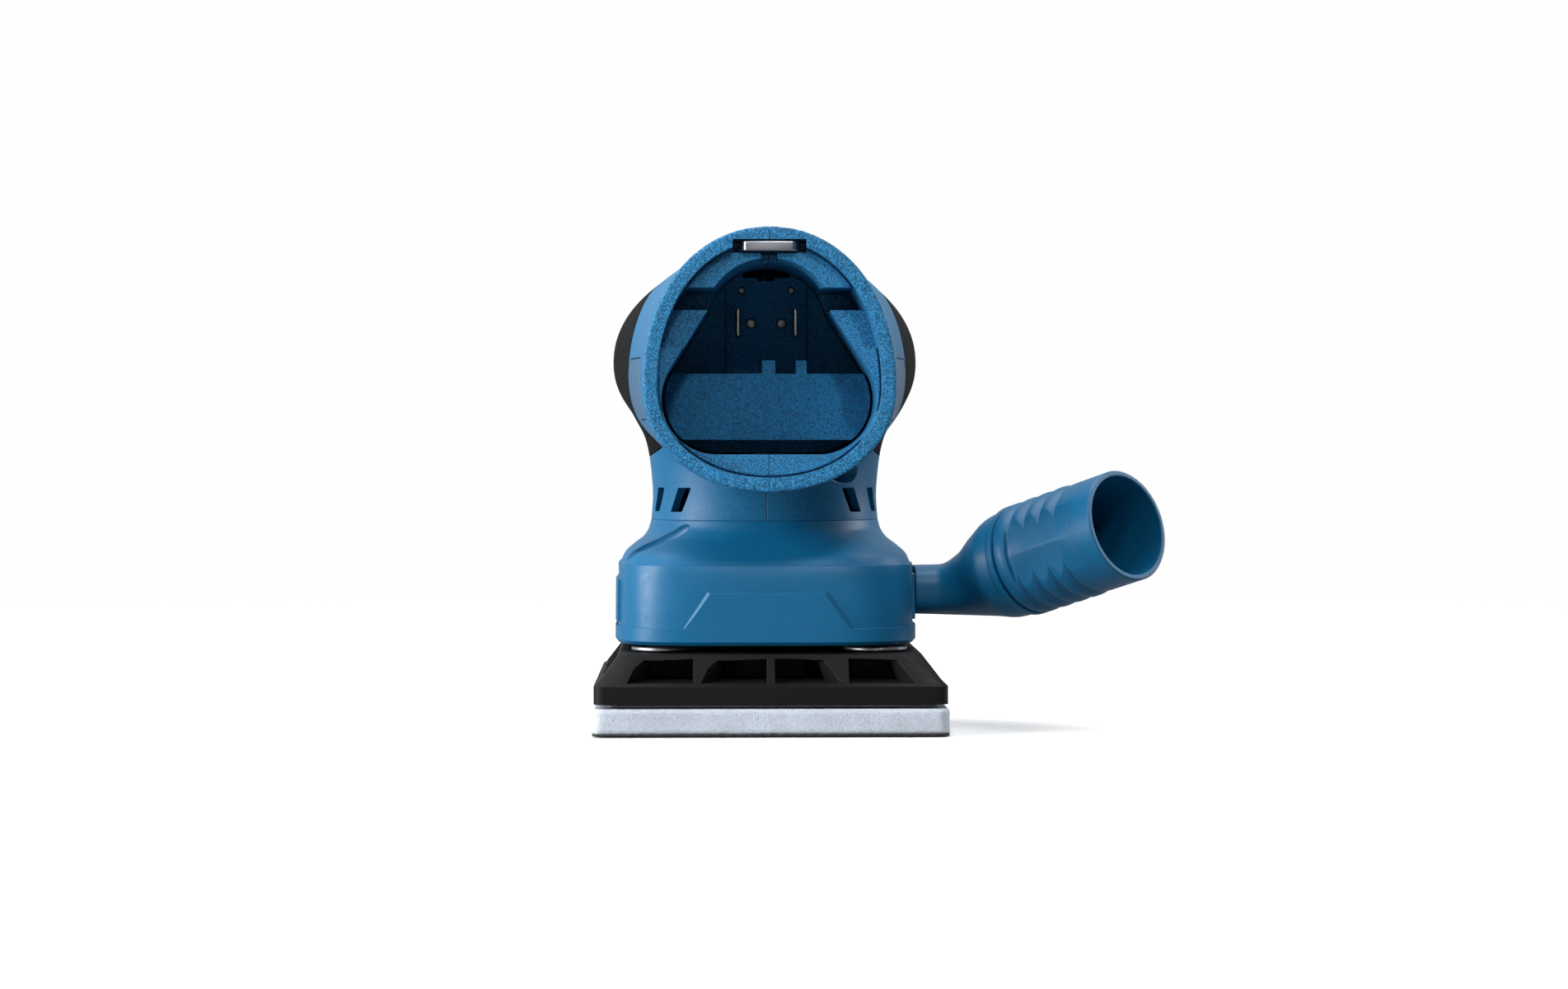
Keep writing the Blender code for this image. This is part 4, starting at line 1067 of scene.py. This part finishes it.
def build_disc(finishes, word):
    """The dished steel disc below a bundle of posts."""
    low, high = node_box(f"foot_disc_{word}")
    centre, radius = (low + high) / 2, (high.x - low.x) / 2
    profile = [(1.8, low.z), (radius - 0.3, low.z), (radius, low.z + 0.3), (radius, high.z - 0.35),
               (radius - 0.35, high.z), (6.8, high.z), (6.5, high.z - 0.25), (3.4, high.z - 0.25),
               (3.1, high.z), (1.8, high.z)]
    disc = moved(turned(profile, 64, closed=True), centre.x, centre.y)
    finish_piece(disc, f"foot_washer_{word}", "pad", finishes["steel"], "screw_steel", f"foot_disc_{word}")


def build_feet(finishes):
    for word, (sx, sy) in CORNERS.items():
        build_posts(finishes, word, sx * FOOT_X, sy * FOOT_Y, math.atan2(-sy, -sx))
        build_disc(finishes, word)


def torx_screw(head_radius, low, high, shank_radius, head_height):
    """A pan-head screw along Z with its head at the top and a six-lobed socket."""
    head = high - head_height
    profile = [(0, low), (shank_radius * 0.6, low), (shank_radius, low + 1), (shank_radius, head),
               (head_radius, head), (head_radius, high - head_height * 0.45),
               (head_radius * 0.9, high - head_height * 0.15), (head_radius * 0.68, high), (0, high)]
    star = []
    for angle in np.linspace(0, math.tau, 48, endpoint=False):
        radius = head_radius * (0.42 + 0.09 * math.cos(6 * angle))
        star.append((radius * math.cos(angle), radius * math.sin(angle)))
    return cut(turned(profile, 40), prism(star, "Z", high - head_height * 0.7, high + 1))


def build_screws(finishes):
    for index, (y, z) in enumerate(SIDE_SCREWS, start=1):
        low, high = node_box(f"housing_screw_{index}")
        screw = across(torx_screw(2.9, low.x, high.x, 1.45, 2.4), y, z)
        finish_piece(screw, f"side_screw_{index}", "housing", finishes["steel"], "screw_steel",
                     f"housing_screw_{index}")


# ---------------------------------------------------------------- pad

def rear_pocket(index, end):
    """A pocket in the rear or front face, with one side that slants in towards its back."""
    low = (index - 2) * RIB_SPACING + RIB_THICKNESS / 2
    high = low + RIB_SPACING - RIB_THICKNESS
    rings = []
    for y, shift, floor, roof in POCKET_LEVELS:
        outline = [(low + shift, floor), (high, floor), (high, roof),
                   (low + 1.5 * shift, roof - 0.15 * shift)]
        if index >= 2:
            outline = [(low + high - x, z) for x, z in reversed(outline)]
        rings.append([(x, end * y, z) for x, z in outline])
    return loft(rings)


def plate_pockets():
    """Pockets between thin ribs: four in the rear, four in the front and three on each side."""
    tools = [rear_pocket(index, end) for end in (-1, 1) for index in range(4)]
    for side in (-1, 1):
        section = [(side * x, z) for x, z in ((70, 15.2), (44.6, 15.2), (41.2, 21.4), (70, 21.4))]
        tools += [prism(section, "Y", y - 12.2, y + 12.2) for y in (-28, 0, 28)]
    return tools


def dust_hole_tools():
    return [moved(cylinder(DUST_HOLE_RADIUS, -5, 40, 40), x, y) for x, y in DUST_HOLES]


def build_plate(finishes):
    """The black plate: a band round its foot, sloping sides with pockets, and a hub."""
    low, high = node_box("sanding_plate")
    band_top = low.z + 5.1
    width, depth = high.x - low.x, high.y - low.y
    band = rounded_rectangle(width, depth, PAD_CORNER)
    step = rounded_rectangle(width - 1.6, depth - 1.6, PAD_CORNER)
    top = rounded_rectangle(width - 14, depth - 14, 2 * PAD_CORNER)
    levels = [(band, low.z), (band, band_top), (step, band_top + 0.4), (top, high.z - 1.9)]
    plate = loft([[(x, y, z) for x, y in outline] for outline, z in levels])
    unite(plate, cylinder(HUB_RADIUS, 15, high.z, 96))
    cut(plate, *plate_pockets())
    cut(plate, cylinder(HUB_SEAT_RADIUS, HUB_FLOOR, 40, 96), *dust_hole_tools())
    screw_room = [(0, 4), (3.6, 4), (3.6, 11.6), (1.8, 12.9), (1.8, 40), (0, 40)]
    cut(plate, *[moved(turned(screw_room, 32), sx * FOOT_X, sy * FOOT_Y) for sx, sy in CORNERS.values()])
    moved(plate, ORBIT)
    finish_piece(plate, "platen", "pad", finishes["black"], "black_plastic", "sanding_plate", sharp=45)


def pad_layer(width, depth, levels):
    """A slab of the pad's outline with dust holes, through levels of (height, inset)."""
    rings = []
    for z, inset in levels:
        outline = rounded_rectangle(width - 2 * inset, depth - 2 * inset, PAD_CORNER, 8)
        rings.append([(x, y, z) for x, y in outline])
    return cut(loft(rings), *dust_hole_tools())


def build_foam(finishes):
    """The foam block, a soft slab with slightly pinched edges, and the hook layer below it."""
    low, high = node_box("foam_pad")
    width, depth = high.x - low.x, high.y - low.y
    foam = pad_layer(width, depth, [(HOOK_TOP + 0.05, 0.1), (HOOK_TOP + 0.3, 0.0),
                                    ((low.z + high.z) / 2, 0.1), (high.z - 0.3, 0.0), (high.z, 0.25)])
    remesh(foam, FINE * 1.1, 1)
    ripple(foam, 0.1, 0.8)
    thin_out(foam, 90000)
    moved(foam, ORBIT)
    finish_piece(foam, "foam_block", "pad", finishes["foam"], "foam", "foam_pad", sharp=0)

    base = node_box("hook_layer")[0].z
    hook = pad_layer(width, depth, [(base, 0.1), (HOOK_TOP / 2, 0.1), (HOOK_TOP, 0.1)])
    moved(hook, ORBIT)
    finish_piece(hook, "hook_sheet", "pad", finishes["hook"], "hook_fabric", "hook_layer")


# ---------------------------------------------------------------- nozzle

def duct_ring(centre, direction, half_width, half_height, exponent, count=120):
    """An outline square to a direction, with its width level."""
    forward = Vector(direction).normalized()
    up = (Vector((0, 0, 1)) - forward * forward.z).normalized()
    side = up.cross(forward)
    outline = superellipse(half_width, half_height, half_height, exponent, count)
    return [Vector(centre) + side * a + up * b for a, b in outline]


def duct_path(inset, count):
    """Sections along the curved part of the duct, on smooth curves through its stations."""
    table = [(i, *centre, *direction, width, height, power)
             for i, (centre, direction, width, height, power) in enumerate(DUCT_STATIONS)]
    rings = []
    for row in smooth_table(table, np.linspace(0, len(table) - 1, count)):
        centre, direction = row[1:4], row[4:7]
        rings.append(duct_ring(centre, direction, row[7] - inset, row[8] - inset, row[9]))
    return rings


def collar_radius(along):
    """Outer radius along the straight collar: a start bead, four sawtooth ribs and a plain lip."""
    if along < 0.8:
        return 15.9 + (NOZZLE_RADIUS - 15.9) * along / 0.8
    if along < RIBS_FROM:
        return NOZZLE_RADIUS
    if along < RIBS_TO:
        phase = ((along - RIBS_FROM) / RIB_PITCH) % 1.0
        rise = min(phase / 0.22, (1 - phase) / 0.62, 1.0)
        return RIB_VALLEY + (NOZZLE_RADIUS - RIB_VALLEY) * math.sin(math.pi / 2 * rise)
    if along < NOZZLE_LENGTH - 0.5:
        rise = min(1.0, (along - RIBS_TO) / 1.2)
        return COLLAR_RADIUS + 0.55 * rise
    return COLLAR_RADIUS + 0.55 - 0.4 * (along - NOZZLE_LENGTH + 0.5) / 0.5


def flat_cutter():
    """Two planes that meet in a ridge and shave the ribs on the collar's rear side."""
    towards = Vector((-0.1, -0.99, 0.03))
    outward = (towards - NOZZLE_AXIS * towards.dot(NOZZLE_AXIS)).normalized()
    upward = outward.cross(NOZZLE_AXIS)
    if upward.z < 0:
        upward.negate()
    lean = math.radians(10)
    outward, upward = (outward * math.cos(lean) + upward * math.sin(lean),
                       upward * math.cos(lean) - outward * math.sin(lean))
    ridge, edge = FLAT_RIDGE, FLAT_EDGE
    section = [(ridge, 0), (edge, 12), (28, 12), (28, -12), (edge, -12)]
    rings = []
    for along in (7.5, 34.5):
        centre = NOZZLE_START + NOZZLE_AXIS * along
        rings.append([centre + outward * a + upward * b for a, b in section])
    return loft(rings)


def bore_radius(along):
    """Inner radius along the collar: a slight taper behind the mouth and a bevel at its edge."""
    behind = max(0.0, min(1.0, (NOZZLE_LENGTH - 2 - along) / 9.5))
    bevelled = max(0.0, 0.25 * (along - NOZZLE_LENGTH + 0.3) / 0.3)
    return BORE_RADIUS - BORE_TAPER * behind + bevelled


def collar_rings(positions, radius_at):
    rings = []
    for along in positions:
        radius = radius_at(along)
        rings.append(duct_ring(NOZZLE_START + NOZZLE_AXIS * along, NOZZLE_AXIS, radius, radius, 2.0))
    return rings


def port_rings(positions, half_width, half_height):
    return [duct_ring((x, 0, PORT_Z), (1, 0, 0), half_width, half_height, 3.0) for x in positions]


def build_nozzle(finishes):
    """The dust nozzle: a plug for the port, a bent duct and a ribbed round collar, all hollow."""
    outer = port_rings((37.5, 40.8, 44.2), 10.0, 5.0) + duct_path(0.0, 50)
    outer += collar_rings(np.linspace(0.1, NOZZLE_LENGTH, 240), collar_radius)
    hollow = port_rings((35, 43.5), 8.2, 3.2) + duct_path(NOZZLE_WALL, 40)[8:]
    ends = (10, 30, NOZZLE_LENGTH - 2, NOZZLE_LENGTH - 0.3, NOZZLE_LENGTH, NOZZLE_LENGTH + 3)
    hollow += collar_rings(ends, bore_radius)
    nozzle = cut(loft(outer), loft(hollow), flat_cutter())
    finish_piece(nozzle, "dust_nozzle", "adapter", finishes["nozzle"], "satin_shell", "dust_adapter",
                 sharp=28)


# ---------------------------------------------------------------- rocker

def build_rocker(finishes):
    """The dished rocker key, tilted about its pivot."""
    tilt = Matrix.Rotation(ROCKER_REST_TILT, 3, "X")
    half_x, half_y = ROCKER_HALF
    outline = [(-half_y, -2.6), (half_y, -2.6)]
    for along in np.linspace(half_y, -half_y, 25):
        outline.append((along, 1.4 * (abs(along) / half_y) ** 1.6))
    rings = []
    for x in (-half_x, half_x):
        points = []
        for along, out in outline:
            local = tilt @ Vector((0, along, out + ROCKER_PIVOT_DEPTH))
            points.append(rocker_point(x, local.y, local.z - ROCKER_PIVOT_DEPTH))
        rings.append(points)
    rocker = bevel(loft(rings), 0.5, 3, 40)
    finish_piece(rocker, "rocker_key", "rocker", finishes["switch"], "switch_black", "power_rocker")


# ---------------------------------------------------------------- carried-over nodes

def repaint_nodes(finishes):
    """Give the CAD nodes that stay their procedural finishes."""
    paints = {
        "seal": ["adapter_seal"],
        "black": ["switch_body", "fan_shroud"],
        "fan": ["fan"],
        "board": ["control_board"],
        "bearing": ["upper_bearing", "lower_bearing", "eccentric_bearing"],
        "steel": ["motor_can", "rotor_shaft"],
        "core": ["armature"],
        "weight": ["counterweight", "backing_plate"],
        "ferrite": ["magnet_ring"],
        "cast": ["bearing_plate"],
    }
    paints["steel"] += [f"plate_screw_{i}" for i in range(1, 5)]
    paints["steel"] += [f"foot_screw_{word}" for word in CORNERS]
    for paint, nodes in paints.items():
        for name in nodes:
            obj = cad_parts[name]
            if not obj.material_slots:
                obj.data.materials.append(None)
            for slot in obj.material_slots:
                slot.link = "OBJECT"
                slot.material = finishes[paint]


# ---------------------------------------------------------------- stage

FLOOR_BOUNCE = (0.2, 0.2, 0.205)
FLOOR_HEIGHT = -0.0004
LENS = 75.67
CAMERA_PLACE = (-0.020, -0.9805, 0.0806)
CAMERA_TURN = (-0.788, -1.51)           # pitch and yaw, in degrees


def build_floor():
    """A pale disc that fades out into the white surround and throws little light back up."""
    bm = bmesh.new()
    bmesh.ops.create_circle(bm, cap_ends=True, segments=96, radius=1.6)
    floor = new_object(bm, "floor")
    floor.location.z = FLOOR_HEIGHT
    finish = Finish("floor_pale", 0.7, Specular_IOR_Level=0.2)
    grain = finish.noise(40, 3.0)
    pale = finish.mix(finish.spread(grain, 0.3, 0.7), (0.86, 0.86, 0.86), (0.9, 0.9, 0.9))
    seen = finish.add("LightPath").outputs["Is Camera Ray"]
    finish.colour(finish.mix(seen, FLOOR_BOUNCE, pale))
    length = finish.add("VectorMath", operation="LENGTH")
    finish.feed(length.inputs[0], finish.place)
    finish.feed(finish.shader.inputs["Alpha"], finish.spread(length.outputs["Value"], 0.2, 0.95, 1.0, 0.0))
    floor.data.materials.append(finish.material)


def build_world():
    """White to the camera, and a soft gradient from the upper left for the light it gives."""
    world = bpy.data.worlds.new("studio")
    bpy.context.scene.world = world
    world.use_nodes = True
    tree = world.node_tree
    nodes, links = tree.nodes, tree.links
    nodes.clear()
    output = nodes.new("ShaderNodeOutputWorld")
    place = nodes.new("ShaderNodeTexCoord")
    dot = nodes.new("ShaderNodeVectorMath")
    dot.operation = "DOT_PRODUCT"
    dot.inputs[1].default_value = Vector((-0.45, 0.45, 0.75)).normalized()
    spread = nodes.new("ShaderNodeMapRange")
    for index, value in ((1, -0.35), (2, 1.0), (3, 0.02), (4, 0.75)):
        spread.inputs[index].default_value = value
    soft = nodes.new("ShaderNodeBackground")
    seen = nodes.new("ShaderNodeBackground")
    mix = nodes.new("ShaderNodeMixShader")
    path = nodes.new("ShaderNodeLightPath")
    links.new(place.outputs["Generated"], dot.inputs[0])
    links.new(dot.outputs["Value"], spread.inputs[0])
    links.new(spread.outputs["Result"], soft.inputs["Strength"])
    soft.inputs["Color"].default_value = (0.94, 0.97, 1.0, 1.0)
    seen.inputs["Color"].default_value = (0.99, 0.99, 0.99, 1.0)
    links.new(path.outputs["Is Camera Ray"], mix.inputs["Fac"])
    links.new(soft.outputs["Background"], mix.inputs[1])
    links.new(seen.outputs["Background"], mix.inputs[2])
    links.new(mix.outputs["Shader"], output.inputs["Surface"])


def hang_light(data, place, aim):
    light = bpy.data.objects.new(data.name, data)
    light.location = place
    light.rotation_euler = (Vector(aim) - Vector(place)).to_track_quat("-Z", "Y").to_euler()
    light.visible_camera = False
    bpy.context.scene.collection.objects.link(light)


def area_light(name, place, size, power, aim=(0.0, 0.0, 0.08)):
    data = bpy.data.lights.new(name, "AREA")
    data.shape = "RECTANGLE"
    data.size, data.size_y = size
    data.energy = power
    hang_light(data, place, aim)


def soft_spot(name, place, aim, power, spread):
    """A soft narrow beam that reaches only one part of the tool."""
    data = bpy.data.lights.new(name, "SPOT")
    data.energy = power
    data.spot_size = math.radians(spread)
    data.spot_blend = 0.45
    data.shadow_soft_size = 0.12
    hang_light(data, place, aim)


def build_stage():
    build_floor()
    build_world()
    area_light("key_left", (-1.15, -0.45, 0.42), (0.7, 0.9), 29)
    area_light("top_soft", (0.0, 0.12, 1.2), (1.3, 0.8), 13)
    area_light("rear_right", (1.0, 0.3, 0.5), (0.4, 0.8), 8)
    soft_spot("bay_spot", (0.12, -0.95, 0.79), (0.0, -0.07, 0.109), 74, 7.4)
    soft_spot("bay_fill", (0.0, -1.1, 0.11), (0.0, -0.03, 0.11), 9, 5.0)
    soft_spot("nozzle_spot", (-0.1, -0.75, 0.85), (0.082, -0.03, 0.05), 32, 6.4)
    bpy.context.scene.view_settings.view_transform = "Standard"


def build_camera():
    """A long lens at about half the tool's height, almost square to the mouth."""
    data = bpy.data.cameras.new("camera")
    data.sensor_width = 36.0
    data.lens = LENS
    data.clip_start = 0.01
    data.clip_end = 50
    camera = bpy.data.objects.new("camera", data)
    camera.location = CAMERA_PLACE
    pitch, yaw = CAMERA_TURN
    camera.rotation_euler = (math.radians(90 + pitch), 0.0, math.radians(yaw))
    bpy.context.scene.collection.objects.link(camera)
    bpy.context.scene.camera = camera


build_camera()
build_stage()
finishes = make_finishes()
build_casing(finishes)
build_carrier(finishes)
build_contacts(finishes)
build_strap(finishes)
build_skirt(finishes)
build_feet(finishes)
build_screws(finishes)
build_plate(finishes)
build_foam(finishes)
build_nozzle(finishes)
build_rocker(finishes)
repaint_nodes(finishes)
